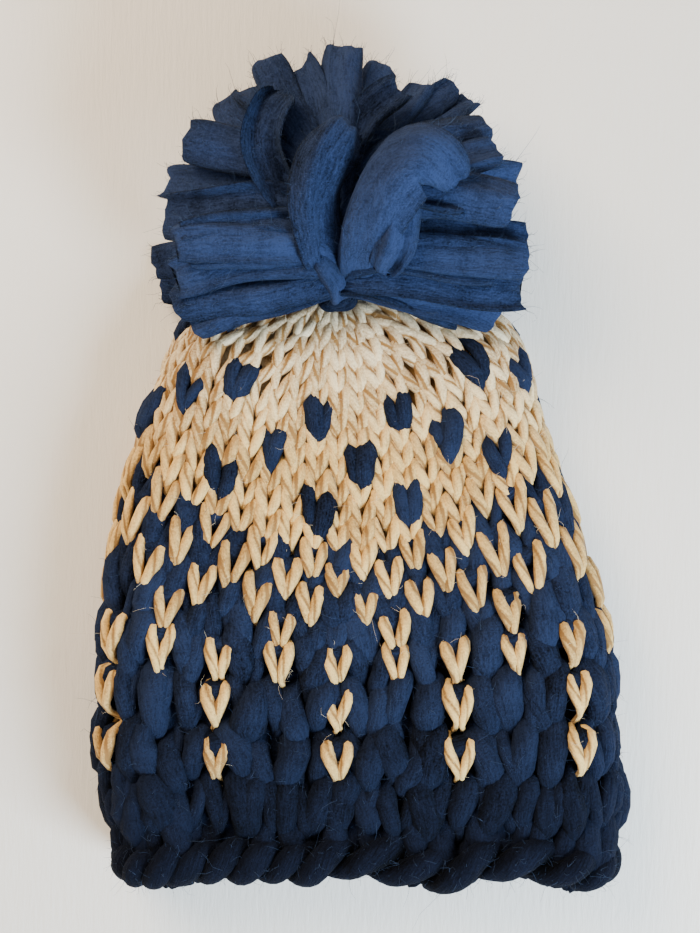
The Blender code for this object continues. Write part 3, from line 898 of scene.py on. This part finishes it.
@dataclass(frozen=True)
class Pompom:
    """A large pompom of flat strips of roving, bound at the neck and fanned out.

    Args:
        form: The knitted tube that it stands on.
        neck_row: Where its neck stands on the gathered top.
        neck_length: From the gathered top to where the strips are bound.
        strip_reach: Of a long strip, in plan.
        height: Of the pompom above the surface that the hat lies on.
        strip_width: Of a full strip.
        root_width: Where a strip is bound.
        thickness: Of a strip.
        lobe_flatness: The thickness of a lobe in the middle, as a share of a strip's.
        stations: Points along a strip.
        sides: Points round it.
    """

    form: HatForm = field(default_factory=HatForm)
    neck_row: float = 19.4
    neck_length: float = 0.0150
    strip_reach: float = 0.096
    height: float = 0.110
    strip_width: float = 0.0180
    root_width: float = 0.0150
    thickness: float = 0.0080
    lobe_flatness: float = 0.52
    stations: int = 26
    sides: int = 24

    @property
    def neck_axis(self) -> Array:
        """The unit vector along the neck, away from the hat."""
        return unit(np.array([0.0, 0.62, 0.78]))

    def bound_at(self) -> Array:
        """The middle of the fan, where the strips are bound."""
        foot, _ = self.form.surface(np.array(0.0), np.array(self.neck_row))
        return foot + self.neck_axis * self.neck_length

    def strips(self) -> dict[str, Array]:
        """Every strip: the ones that show, then the tiers under them.

        Returns:
            One array for each named value.
        """
        found = {name: STRIPS.column(name) for name in STRIPS.names}
        found["raised"] = np.ones(len(STRIPS.rows))
        for tier in range(len(TIERS.rows)):
            value = {name: TIERS.column(name)[tier] for name in TIERS.names}
            count = int(value["strips"])
            uneven = np.sin(math.pi * (3 - math.sqrt(5)) * (np.arange(count) + count))
            added = {
                "bearing": np.linspace(value["first"], value["last"], count),
                "reach": value["reach"] * (1 + 0.05 * uneven),
                "tip": value["tip"] + 0.03 * (1 + uneven),
                "arch": np.full(count, value["arch"]),
                "raised": np.full(count, value["raised"]),
                "bend": 0.02 * uneven,
                "width": np.full(count, value["width"]),
                "roll": np.zeros(count),
                "hook": np.zeros(count),
            }
            found = {name: np.concatenate([found[name], added[name]]) for name in found}
        return found

    def split(self, strips: dict[str, Array], seed: int) -> dict[str, Array]:
        """Narrower locks, each beside a strip, which part from it towards their tips.

        Args:
            strips: The strips' named values.
            seed: Of the unevenness.

        Returns:
            The locks' named values.
        """
        chance = np.random.default_rng(seed)
        count = len(strips["bearing"])
        made = {name: values.copy() for name, values in strips.items()}
        made["bearing"] += chance.choice([-1, 1], count) * chance.uniform(3.5, 6.5, count)
        made["reach"] *= chance.uniform(0.72, 0.93, count)
        made["tip"] = np.clip(made["tip"] + chance.uniform(-0.08, 0.03, count), 0.02, 0.9)
        made["bend"] += chance.uniform(-0.04, 0.04, count)
        made["width"] *= chance.uniform(0.4, 0.7, count)
        made["roll"] += chance.uniform(-45, 45, count)
        return made

    def shares(self) -> Array:
        """Where the stations lie along a strip: closer together towards its tip."""
        return 0.04 + 0.96 * (1 - (1 - np.linspace(0, 1, self.stations)) ** 1.5)

    def fanned(self, strips: dict[str, Array], seed: int) -> Tubes:
        """Strips that fan out from the neck.

        A path starts at the neck, rises to the spine by 1 - (1 - s)^4 and leaves it for its tip by s^1.5. A
        hump, 4 * s * (1 - s), arches it and bends it sideways, and its last third swings aside. It is turned
        on its edge by s * 0.7 of its roll.

        Args:
            strips: The strips' named values.
            seed: Of the unevenness.

        Returns:
            One strand a strip.
        """
        chance = np.random.default_rng(seed)
        count = len(strips["bearing"])
        column = {name: values[:, None] for name, values in strips.items()}
        bearing = np.radians(column["bearing"])
        zero = np.zeros_like(bearing)
        ahead = np.stack([np.sin(bearing), np.cos(bearing), zero], axis=-1)
        aside = np.stack([np.cos(bearing), -np.sin(bearing), zero], axis=-1)
        s = self.shares()[None, :]
        hump = 4 * s * (1 - s)
        reached, risen = s**1.5, 1 - (1 - s) ** 4
        hooked = np.clip((s - 0.65) / 0.35, 0, 1) ** 2
        middle = self.bound_at()
        wave = 0.012 * np.sin(3.2 * math.pi * s + chance.uniform(0, TAU, (count, 1))) * s
        spine = {name: SPINE.read(name, np.abs(column["bearing"])) / 1000 for name in ("up", "height")}
        bent = column["raised"] * risen * (1 - reached)
        out = column["reach"] * self.strip_reach * reached
        sideways = (column["bend"] * hump + column["hook"] * hooked + wave) * self.strip_reach
        rise = (column["tip"] * self.height - middle[2]) * reached + column["arch"] * self.height * hump
        path = middle + out[..., None] * ahead + sideways[..., None] * aside
        path[..., 1] += spine["up"] * bent
        path[..., 2] += rise + (spine["height"] - middle[2]) * bent
        spread = np.clip(s / 0.4, 0, 1) ** 0.8 * (0.94 + 0.12 * s)
        width = self.root_width + (column["width"] * self.strip_width - self.root_width) * spread
        curl = chance.uniform(-0.16, 0.20, (count, 1)) * spread
        return self.ribbons(path, np.radians(column["roll"]) * 0.7 * s, width, curl, seed, 1.0)

    def lobes(self, seed: int) -> Tubes:
        """The lobes in the middle, each on a smooth curve through its table's points.

        Args:
            seed: Of the unevenness.

        Returns:
            One strand a lobe.
        """
        s = self.shares()
        tables = LOBES.values()
        points = [np.stack([lobe.read(axis, s) for axis in "xyz"], axis=-1) for lobe in tables]
        path = np.stack(points) / 1000
        width = np.stack([lobe.read("width", s) for lobe in tables]) / 1000
        roll = np.radians(np.stack([lobe.read("roll", s) for lobe in tables]))
        curl = np.stack([lobe.read("curl", s) for lobe in tables])
        return self.ribbons(path, roll, width, curl, seed, self.lobe_flatness)

    def ribbons(
        self, path: Array, roll: Array, width: Array, curl: Array, seed: int, flatness: float
    ) -> Tubes:
        """Flat, soft strips along paths.

        The cross-section is a flat oval with full edges. Its long axis is level, turned by the roll. So point
        = path + across * half width * c + up * (half thickness * flatness * h + curl * width * c^2 + folds),
        where c and h are cos(angle) and sin(angle), made fuller by a power of 0.75, and the folds are waves
        across the strip. The tip is blunt and a little frayed.

        Args:
            path: Points by strip and station.
            roll: Radians by strip and station.
            width: By strip and station.
            curl: How far the edges stand up, as a share of the width, by strip and station.
            seed: Of the unevenness.
            flatness: Their thickness as a share of a strip's. Flatter ones have deeper folds for it.

        Returns:
            One strand a strip.
        """
        chance = np.random.default_rng(seed + 100)
        count = len(path)
        s = self.shares()[None, :]
        along = unit(np.gradient(path, axis=1))
        level = unit(np.cross(np.array([0.0, 0.0, 1.0]), along))
        up = np.cross(along, level)
        across = level * np.cos(roll)[..., None] - up * np.sin(roll)[..., None]
        up = np.cross(along, across)
        ended = np.clip((s - 0.88) / 0.12, 0, 1)
        full = np.sqrt(1 - 0.85 * ended**2)
        thick = self.thickness * (1.15 - 0.30 * s) * full * np.clip(width / self.root_width, 0.6, 1.0)
        width = width * (1 - 0.12 * ended**3)
        angle = TAU * np.arange(self.sides) / self.sides
        sin, cos = np.sin(angle), np.cos(angle)
        c, h = np.sign(cos) * np.abs(cos) ** 0.75, np.sign(sin) * np.abs(sin) ** 0.75
        phase = chance.uniform(0, TAU, (6, count, 1, 1))
        station = s[..., None]
        folds = 0.28 * np.sin(2.6 * c + phase[0] + 2 * station)
        folds = folds + 0.14 * np.sin(6.5 * c + phase[1] - 3 * station)
        grooves = 0.14 * np.sin(9 * c + phase[2] + 4 * station) + 0.05 * np.sin(15 * c + phase[3])
        spread = np.clip(station / 0.25, 0, 1)
        body = flatness * h * (0.5 + 0.5 * grooves)
        height = thick[..., None] * (body + folds * spread * (2.4 - 1.4 * flatness))
        height = height + (curl * width)[..., None] * (c**2 - 0.35)
        fray = 0.012 * np.sin(2.5 * c + phase[4]) + 0.007 * np.sin(7 * c + phase[5])
        push = fray * np.clip((station - 0.75) / 0.25, 0, 1) ** 2 * self.strip_reach
        rings = (
            path[:, :, None]
            + (width[..., None] / 2 * c)[..., None] * across[:, :, None]
            + height[..., None] * up[:, :, None]
            + push[..., None] * along[:, :, None]
        )
        rings[..., 2] = np.maximum(rings[..., 2], 0.0)
        steps = np.linalg.norm(np.diff(path, axis=1), axis=-1)
        length = np.concatenate([np.zeros((count, 1)), np.cumsum(steps, axis=1)], axis=1) * 100
        return Tubes(rings, length, chance.uniform(0, 1, count))

    def build(self) -> dict[str, bpy.types.Object]:
        """Makes the strips, the thinner locks between them and the lobes in the middle.

        Returns:
            The objects by their names.
        """
        strips = self.strips()
        return {
            "pompom_strips": self.fanned(strips, 41).mesh("pompom_strips"),
            "pompom_locks": self.fanned(self.split(strips, 42), 43).mesh("pompom_locks"),
            "pompom_lobes": self.lobes(44).mesh("pompom_lobes"),
        }


@dataclass(frozen=True)
class NeckWrap:
    """The wrap of roving round the pompom's neck.

    Args:
        pompom: The pompom that it binds.
        radius: Of the wrap's middle line round the neck.
        strand_radius: Half the strand's thickness.
        rounds: How often the strand goes round.
        lowest: How far up the neck its middle line starts.
        climb: How far it climbs from there.
    """

    pompom: Pompom = field(default_factory=Pompom)
    radius: float = 0.0062
    strand_radius: float = 0.0023
    rounds: int = 3
    lowest: float = 0.0012
    climb: float = 0.0068

    def build(self) -> bpy.types.Object:
        """Makes the wrap: a coil round the neck, point = foot + axis * climb + radius * the turning vector.

        Returns:
            The wrap as one object.
        """
        axis = self.pompom.neck_axis
        right = np.array([1.0, 0.0, 0.0])
        behind = np.cross(axis, right)
        angle = np.linspace(0, TAU * self.rounds, 60 * self.rounds)
        foot, _ = self.pompom.form.surface(np.array(0.0), np.array(self.pompom.neck_row))
        turning = right * np.cos(angle)[:, None] + behind * np.sin(angle)[:, None]
        climb = self.lowest + self.climb * angle / angle[-1]
        swing = self.radius + 0.0008 * np.sin(2.3 * angle)
        path = foot + axis * climb[:, None] + turning * swing[:, None]
        radius = self.strand_radius * (1 + 0.12 * np.sin(3.7 * angle))[:, None] * np.ones(12)
        wrap = strands(path[None], turning[None], radius[None], radius[None], np.array([0.2]))
        return wrap.mesh("neck_wrap")


@dataclass(frozen=True)
class LooseFibres:
    """Fine hairs that stand off the wool and curl.

    Args:
        thickness: Of a hair.
        length: Of a middling hair.
        stand: How much of a hair's length points away from the wool, and not along a drift of its own.
        curl: How wide the hairs curl, as a share of their length.
        stations: Points along a hair.
        sides: Points round it.
    """

    thickness: float = 0.00016
    length: float = 0.0062
    stand: float = 0.42
    curl: float = 0.12
    stations: int = 4
    sides: int = 3

    def grown_on(
        self, name: str, pieces: list[bpy.types.Object], count: int, seed: int, centre: Array | None = None
    ) -> bpy.types.Object:
        """Hairs on pieces, more of them where the surface looks up or sideways.

        A hair's path is base + length * (stand * out * (s - 0.4 * s^2) + (1 - stand) * drift * s^1.5) and a
        turning curl that grows with s. With a centre, the hairs stream away from it, and they are thickest
        farthest from it.

        Args:
            name: The object's name.
            pieces: The pieces that the hairs grow on.
            count: How many hairs.
            seed: Of the unevenness.
            centre: What the hairs stream away from.

        Returns:
            The hairs as one object.
        """
        chance = np.random.default_rng(seed)
        bases, outs = [], []
        for piece in pieces:
            size = len(piece.data.vertices) * 3
            points, normals = np.empty(size, np.float32), np.empty(size, np.float32)
            piece.data.vertices.foreach_get("co", points)
            piece.data.vertices.foreach_get("normal", normals)
            bases.append(points.reshape(-1, 3))
            outs.append(normals.reshape(-1, 3))
        base, out = np.concatenate(bases).astype(float), np.concatenate(outs).astype(float)
        weight = (0.15 + np.clip(out[:, 2] + 0.5, 0, 1)) * (base[:, 2] > 0.004)
        if centre is not None:
            away = base - centre
            far = np.linalg.norm(away, axis=1)
            weight = weight * (0.25 + np.exp((far - far.max()) / 0.012))
            out = unit(out * 0.5 + unit(away) * 0.9)
        chosen = chance.choice(len(base), count, p=weight / weight.sum())
        base, out = base[chosen][:, None], out[chosen][:, None]
        s = np.linspace(0, 1, self.stations)[None, :, None]
        reach = self.length * chance.lognormal(0, 0.5, (count, 1, 1))
        drift = unit(chance.normal(0, 1, (count, 1, 3)))
        first, second = unit(chance.normal(0, 1, (2, count, 1, 3)))
        phase = chance.uniform(0, TAU, (count, 1, 1))
        turning = chance.uniform(2, 5, (count, 1, 1)) * s + phase
        curl = (np.sin(turning) - np.sin(phase)) * first + (np.cos(turning) - np.cos(phase)) * second
        course = self.stand * out * (s - 0.4 * s**2) + (1 - self.stand) * drift * s**1.5 + self.curl * curl
        path = base - out * 0.0004 + reach * course
        path[..., 2] = np.maximum(path[..., 2], self.thickness)
        radius = self.thickness / 2 * (1.1 - 0.7 * s) * np.ones((count, 1, self.sides))
        facing = np.broadcast_to(unit(np.cross(unit(np.gradient(path, axis=1)), first)), path.shape)
        return strands(path, facing, radius, radius, chance.uniform(0, 1, count)).mesh(name)


def fill(node: bpy.types.Node, values: dict[str, float | tuple[float, ...]]) -> None:
    """Sets inputs of a node by their names."""
    for label, value in values.items():
        node.inputs[label].default_value = value


@dataclass(frozen=True)
class WoolFinish:
    """Matt wool whose fibres run along its strands.

    Args:
        name: Of the material.
        colour: Of the fibres in the light.
        deep: The darker colour: of darker fibres in the streaks, and the painted shade at the sides of a
        strand and in the creases between plies.
        streaks: How many streaks of fibres there are round a strand.
        relief: How deep the streaks and creases are, in metres.
        roughness: Of the surface.
        twist: Turns of the fibres round the strand, in each centimetre.
        plies: How deep the creases between two plies are and how dark their painted shade is, from 0 for
        unplied wool to 1.
        sheen: How much the loose fibres catch the light.
        sheen_tint: Their colour.
        hollow: How much painted shade darkens the wool from the crest of a strand to its
        sides.
        painted_light_far_colour: The colour towards the top of the hat, if it differs: painted light and
            shade, lighter where more light falls.
        fade: Where along the hat the painted light starts to change the colour, and where it has changed.
    """

    name: str
    colour: tuple[float, float, float]
    deep: tuple[float, float, float]
    streaks: float
    relief: float
    roughness: float
    twist: float = 0.0
    plies: float = 0.0
    sheen: float = 0.0
    sheen_tint: tuple[float, float, float] = (1.0, 1.0, 1.0)
    hollow: float = 0.0
    painted_light_far_colour: tuple[float, float, float] | None = None
    fade: tuple[float, float] = (0.0, 0.075)

    def material(self) -> bpy.types.Material:
        """Makes the material: colour and height from the fibre group, the rest on the shader itself.

        Returns:
            The material.
        """
        made = bpy.data.materials.new(self.name)
        made.use_nodes = True
        nodes, links = made.node_tree.nodes, made.node_tree.links
        shader = nodes["Principled BSDF"]
        on_shader = {
            "Roughness": self.roughness,
            "Specular IOR Level": 0.08,
            "Sheen Weight": self.sheen,
            "Sheen Roughness": 0.5,
            "Sheen Tint": (*self.sheen_tint, 1.0),
        }
        fill(shader, on_shader)
        fibres = nodes.new("ShaderNodeGroup")
        fibres.node_tree = fibre_group()
        on_fibres = {
            "Colour": (*self.colour, 1.0),
            "Deep Colour": (*self.deep, 1.0),
            "Streaks": self.streaks,
            "Twist": self.twist,
            "Plies": self.plies,
            "Hollow": self.hollow,
        }
        fill(fibres, on_fibres)
        uv = nodes.new("ShaderNodeUVMap")
        uv.uv_map = "yarn"
        tone = nodes.new("ShaderNodeAttribute")
        tone.attribute_name = "tone"
        bump = nodes.new("ShaderNodeBump")
        fill(bump, {"Strength": 1.0, "Distance": self.relief})
        links.new(uv.outputs["UV"], fibres.inputs["Vector"])
        links.new(tone.outputs["Fac"], fibres.inputs["Tone"])
        links.new(fibres.outputs["Colour"], shader.inputs["Base Color"])
        links.new(fibres.outputs["Height"], bump.inputs["Height"])
        links.new(bump.outputs["Normal"], shader.inputs["Normal"])
        place = nodes.new("ShaderNodeTexCoord")
        links.new(place.outputs["Object"], fibres.inputs["Place"])
        # Painted light and shade along Y: the colour turns lighter towards the top of the hat, where more
        # light falls. It paints the cream crown paler near the pompom and the navy brim darker at its cast-on
        # edge.
        if self.painted_light_far_colour:
            parts = nodes.new("ShaderNodeSeparateXYZ")
            ramp = nodes.new("ShaderNodeMapRange")
            fill(ramp, {"From Min": self.fade[0], "From Max": self.fade[1]})
            blend = nodes.new("ShaderNodeMix")
            blend.data_type = "RGBA"
            fill(blend, {"A": (*self.colour, 1.0), "B": (*self.painted_light_far_colour, 1.0)})
            links.new(place.outputs["Object"], parts.inputs[0])
            links.new(parts.outputs["Y"], ramp.inputs["Value"])
            links.new(ramp.outputs["Result"], blend.inputs["Factor"])
            links.new(blend.outputs["Result"], fibres.inputs["Colour"])
        return made


def fibre_group() -> bpy.types.NodeTree:
    """The node group of fibres that run along a strand, built once.

    Streaks are noise that is stretched along the strand: its place is (along * 1.7, (round + twist * along)
    * streaks, tone). Colour goes from the deep colour to the full one with the streaks and a broader
    patchiness. Two plies leave a crease where cos(2 * round + along / 2.2 cm + tone), in turns, is least:
    a dip in the height, and a painted shade in the colour. The sides of a strand get a painted shade,
    darker than its crest by how little sin(round) is.

    A finer noise in the object's own space, 1 mm wide, is the felt of fibres that lie across each other.

    Returns:
        The group, with inputs Vector, Place, Tone, Colour, Deep Colour, Streaks, Twist, Plies and Hollow,
        and outputs Colour and Height.
    """
    name = "wool_fibres"
    if name in bpy.data.node_groups:
        return bpy.data.node_groups[name]
    group = bpy.data.node_groups.new(name, "ShaderNodeTree")
    for label, kind in (
        ("Vector", "NodeSocketVector"),
        ("Place", "NodeSocketVector"),
        ("Tone", "NodeSocketFloat"),
        ("Colour", "NodeSocketColor"),
        ("Deep Colour", "NodeSocketColor"),
        ("Streaks", "NodeSocketFloat"),
        ("Twist", "NodeSocketFloat"),
        ("Plies", "NodeSocketFloat"),
        ("Hollow", "NodeSocketFloat"),
    ):
        group.interface.new_socket(label, in_out="INPUT", socket_type=kind)
    group.interface.new_socket("Colour", in_out="OUTPUT", socket_type="NodeSocketColor")
    group.interface.new_socket("Height", in_out="OUTPUT", socket_type="NodeSocketFloat")
    nodes, links = group.nodes, group.links
    inside = nodes.new("NodeGroupInput")
    outside = nodes.new("NodeGroupOutput")

    def maths(operation: str, first: Socket | float, second: Socket | float = 0.0) -> Socket:
        """One value worked out from two.

        Args:
            operation: What is done with them, by the name that a Math node has for it.
            first: A number, or the output that gives it.
            second: The same, where the operation has a second value.

        Returns:
            The output with the result.
        """
        node = nodes.new("ShaderNodeMath")
        node.operation = operation
        for socket, value in zip(node.inputs, (first, second)):
            if isinstance(value, Socket):
                links.new(value, socket)
            else:
                socket.default_value = value
        return node.outputs[0]

    def place(x: Socket, y: Socket, z: Socket) -> Socket:
        """A place, from its three coordinates.

        Args:
            x: The output that gives the first.
            y: The second.
            z: The third.

        Returns:
            The output with the place.
        """
        node = nodes.new("ShaderNodeCombineXYZ")
        for socket, value in zip(node.inputs, (x, y, z)):
            links.new(value, socket)
        return node.outputs[0]

    def noise(at: Socket, scale: float, detail: float) -> Socket:
        """Soft noise from 0 to 1.

        Args:
            at: The output with the place where it is read.
            scale: How many swells it has in each unit.
            detail: How many finer layers it has.

        Returns:
            The output with the noise.
        """
        node = nodes.new("ShaderNodeTexNoise")
        fill(node, {"Scale": scale, "Detail": detail, "Roughness": 0.65})
        links.new(at, node.inputs["Vector"])
        return node.outputs["Fac"]

    parts = nodes.new("ShaderNodeSeparateXYZ")
    links.new(inside.outputs["Vector"], parts.inputs[0])
    along, across, tone = parts.outputs["X"], parts.outputs["Y"], inside.outputs["Tone"]
    seed = maths("MULTIPLY", tone, 91.0)
    turned = maths("ADD", across, maths("MULTIPLY", along, inside.outputs["Twist"]))
    stretched = maths("MULTIPLY", along, 1.7)
    crowded = maths("MULTIPLY", turned, inside.outputs["Streaks"])
    streaks = noise(place(stretched, crowded, seed), 1.0, 4.0)
    patches = noise(place(along, across, seed), 1.1, 2.0)
    contrast = nodes.new("ShaderNodeMapRange")
    fill(contrast, {"From Min": 0.34, "From Max": 0.62})
    links.new(streaks, contrast.inputs["Value"])
    felt = noise(inside.outputs["Place"], 1000.0, 3.0)
    level = maths("ADD", maths("MULTIPLY", contrast.outputs[0], 0.40), maths("MULTIPLY", patches, 0.8))
    level = maths("ADD", level, maths("MULTIPLY", maths("SUBTRACT", felt, 0.47), 1.4))
    level = maths("ADD", level, maths("MULTIPLY", maths("SUBTRACT", tone, 0.5), 0.45))
    # Painted shade: the sides of a strand are darkened towards the deep colour, and its crest keeps the full
    # colour.
    crest = maths("MULTIPLY", maths("ADD", maths("SINE", maths("MULTIPLY", across, TAU)), 1.0), 0.5)
    side = maths("SUBTRACT", 1.0, crest)
    level = maths("SUBTRACT", level, maths("MULTIPLY", maths("POWER", side, 1.5), inside.outputs["Hollow"]))
    # Painted shade in the creases between the plies; the same creases also lower the height for the bump.
    turns = maths("ADD", maths("ADD", maths("MULTIPLY", across, 2.0), maths("DIVIDE", along, 2.2)), tone)
    wave = maths("COSINE", maths("MULTIPLY", turns, TAU))
    crease = maths("POWER", maths("MULTIPLY", maths("SUBTRACT", 1.0, wave), 0.5), 10.0)
    crease = maths("MULTIPLY", crease, inside.outputs["Plies"])
    level = maths("SUBTRACT", level, crease)
    blend = nodes.new("ShaderNodeMix")
    blend.data_type = "RGBA"
    blend.clamp_factor = True
    links.new(level, blend.inputs["Factor"])
    links.new(inside.outputs["Deep Colour"], blend.inputs["A"])
    links.new(inside.outputs["Colour"], blend.inputs["B"])
    links.new(blend.outputs["Result"], outside.inputs["Colour"])
    rough = maths("ADD", maths("MULTIPLY", felt, 0.8), streaks)
    links.new(maths("SUBTRACT", rough, crease), outside.inputs["Height"])
    return group


# In these finishes the deep colours are partly painted shade, the side shade and ply creases darken towards
# them as painted shade, and the far colours paint the light along the hat; the other colours are the wool's
# own.
CREAM_WOOL = WoolFinish(
    name="cream_plied_wool",
    colour=(0.94, 0.63, 0.235),
    deep=(0.32, 0.170, 0.055),
    streaks=14,
    twist=0.227,
    plies=0.8,
    relief=0.0004,
    roughness=0.85,
    sheen=0.15,
    sheen_tint=(1.0, 0.95, 0.85),
    hollow=1.8,
    painted_light_far_colour=(1.0, 0.91, 0.68),
    fade=(0.005, 0.075),
)
# Its colour is the painted shade at the cast-on edge; the far colour is the brim higher up.
NAVY_ROVING = WoolFinish(
    name="navy_roving",
    colour=(0.0038, 0.0056, 0.0150),
    deep=(0.0003, 0.0005, 0.0014),
    streaks=34,
    twist=0.03,
    relief=0.0012,
    roughness=0.92,
    sheen=0.02,
    sheen_tint=(0.35, 0.5, 0.85),
    hollow=1.3,
    painted_light_far_colour=(0.019, 0.031, 0.078),
    fade=(-0.19, -0.08),
)
BLUE_ROVING = WoolFinish(
    name="blue_felted_roving",
    colour=(0.0275, 0.0470, 0.126),
    deep=(0.0010, 0.0025, 0.0080),
    streaks=70,
    relief=0.0009,
    roughness=0.92,
    sheen=0.05,
    sheen_tint=(0.4, 0.6, 1.0),
    hollow=1.35,
)
NAVY_HAIR = WoolFinish(
    name="navy_loose_fibres",
    colour=(0.055, 0.085, 0.160),
    deep=(0.012, 0.020, 0.045),
    streaks=2,
    relief=0.0001,
    roughness=0.8,
)
CREAM_HAIR = WoolFinish(
    name="cream_loose_fibres",
    colour=(0.92, 0.82, 0.64),
    deep=(0.75, 0.58, 0.36),
    streaks=2,
    relief=0.0001,
    roughness=0.8,
)


@dataclass(frozen=True)
class Studio:
    """The pale floor, the soft lights and the camera straight above the hat.

    Args:
        camera_at: The camera's place.
        half_view: Half the height that it sees, over that distance.
    """

    camera_at: tuple[float, float, float] = (-0.0048, 0.0005, 0.85)
    half_view: float = 0.2146 / 0.825

    def floor(self) -> bpy.types.Object:
        """A large level floor under the hat, painted with a brush: fine bumps, longer along the strokes.

        Returns:
            The floor.
        """
        mesh = bpy.data.meshes.new("floor")
        reach = 3.0
        corners = [(-reach, -reach, 0), (reach, -reach, 0), (reach, reach, 0), (-reach, reach, 0)]
        mesh.from_pydata(corners, [], [(0, 1, 2, 3)])
        made = bpy.data.objects.new("floor", mesh)
        bpy.context.scene.collection.objects.link(made)
        finish = bpy.data.materials.new("pale_floor")
        finish.use_nodes = True
        shader = finish.node_tree.nodes["Principled BSDF"]
        fill(shader, {"Base Color": (0.97, 0.93, 0.875, 1.0), "Roughness": 0.5})
        nodes, links = finish.node_tree.nodes, finish.node_tree.links
        place = nodes.new("ShaderNodeTexCoord")
        stretched = nodes.new("ShaderNodeMapping")
        stretched.inputs["Scale"].default_value = (420.0, 60.0, 100.0)
        brushed = nodes.new("ShaderNodeTexNoise")
        fill(brushed, {"Scale": 1.0, "Detail": 5.0, "Roughness": 0.7})
        bump = nodes.new("ShaderNodeBump")
        fill(bump, {"Strength": 0.5, "Distance": 0.0008})
        links.new(place.outputs["Object"], stretched.inputs["Vector"])
        links.new(stretched.outputs["Vector"], brushed.inputs["Vector"])
        links.new(brushed.outputs["Fac"], bump.inputs["Height"])
        links.new(bump.outputs["Normal"], shader.inputs["Normal"])
        mesh.materials.append(finish)
        return made

    def light(
        self,
        name: str,
        place: tuple[float, float, float],
        size: float,
        power: float,
        colour: tuple[float, float, float],
    ) -> None:
        """Makes a square soft light that shines at the middle of the hat.

        Args:
            name: The light's name.
            place: Where it hangs.
            size: Of its sides.
            power: In watts.
            colour: Of the light.
        """
        data = bpy.data.lights.new(name, "AREA")
        data.size, data.energy, data.color = size, power, colour
        lamp = bpy.data.objects.new(name, data)
        lamp.location = place
        aim = np.array([0.0, 0.0, 0.02]) - np.array(place)
        flat = math.hypot(aim[0], aim[1])
        lamp.rotation_euler = (math.atan2(flat, -aim[2]), 0.0, math.atan2(aim[1], aim[0]) - math.pi / 2)
        bpy.context.scene.collection.objects.link(lamp)

    def build(self) -> bpy.types.Object:
        """Makes the floor, the lights and the camera.

        Returns:
            The floor.
        """
        scene = bpy.context.scene
        world = bpy.data.worlds.new("soft_room")
        world.use_nodes = True
        fill(world.node_tree.nodes["Background"], {"Color": (1.0, 0.955, 0.89, 1.0), "Strength": 0.47})
        scene.world = world
        self.light("warm_fill", (-0.72, 0.72, 1.05), 0.8, 27.0, (1.0, 0.78, 0.53))
        self.light("cool_window", (0.75, -0.80, 0.75), 0.6, 42.0, (0.71, 0.87, 1.0))
        data = bpy.data.cameras.new("camera")
        data.sensor_fit = "VERTICAL"
        data.angle = 2 * math.atan(self.half_view)
        data.clip_start, data.clip_end = 0.01, 20.0
        camera = bpy.data.objects.new("camera", data)
        camera.location = self.camera_at
        scene.collection.objects.link(camera)
        scene.camera = camera
        return self.floor()


def dress(made: bpy.types.Object, finish: bpy.types.Material, slot: str, *nodes: str) -> None:
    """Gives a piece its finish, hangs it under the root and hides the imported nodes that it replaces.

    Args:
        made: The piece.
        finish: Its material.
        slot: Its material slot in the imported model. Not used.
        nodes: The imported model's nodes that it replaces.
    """
    made.data.materials.append(finish)
    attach(made, "root")
    if nodes:
        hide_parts(*nodes)
    triangles = sum(len(face.vertices) - 2 for face in made.data.polygons)
    log.info("%s: %d triangles", made.name, triangles)


def main() -> None:
    """Builds the pieces in order, from the knitted tube to the loose fibres, then the studio."""
    logging.basicConfig(level=logging.INFO, format="%(name)s %(message)s")
    finishes = (CREAM_WOOL, NAVY_ROVING, BLUE_ROVING, NAVY_HAIR, CREAM_HAIR)
    cream, navy, blue, hair, pale_hair = (finish.material() for finish in finishes)
    form = HatForm()
    fabric = KnittedFabric(form).build()
    for name, made in fabric.items():
        if name.startswith("cream"):
            dress(made, cream, "cream_wool", "cream_crown")
        else:
            dress(made, navy, "navy_roving", "navy_brim")
    rope = CastOnRope(form).build()
    dress(rope, navy, "navy_roving", "cast_on_edge")
    pompom = Pompom(form)
    strips = pompom.build()
    for made in strips.values():
        dress(made, blue, "blue_roving", "pompom")
    dress(NeckWrap(pompom).build(), navy, "blue_roving", "pompom_tie")
    roving = [fabric["navy_stitches_upper"], fabric["navy_stitches_lower"], rope]
    dress(LooseFibres().grown_on("brim_loose_fibres", roving, 9600, 51), hair, "navy_roving")
    streaming = LooseFibres(length=0.006, stand=0.75, curl=0.08)
    fluff = streaming.grown_on("pompom_loose_fibres", list(strips.values()), 8000, 52, pompom.bound_at())
    dress(fluff, hair, "blue_roving")
    down = LooseFibres(thickness=0.00013, length=0.005).grown_on(
        "crown_loose_fibres", [fabric["cream_stitches_upper"]], 2200, 53
    )
    dress(down, pale_hair, "cream_wool")
    Studio().build()


if __name__ == "__main__":
    main()
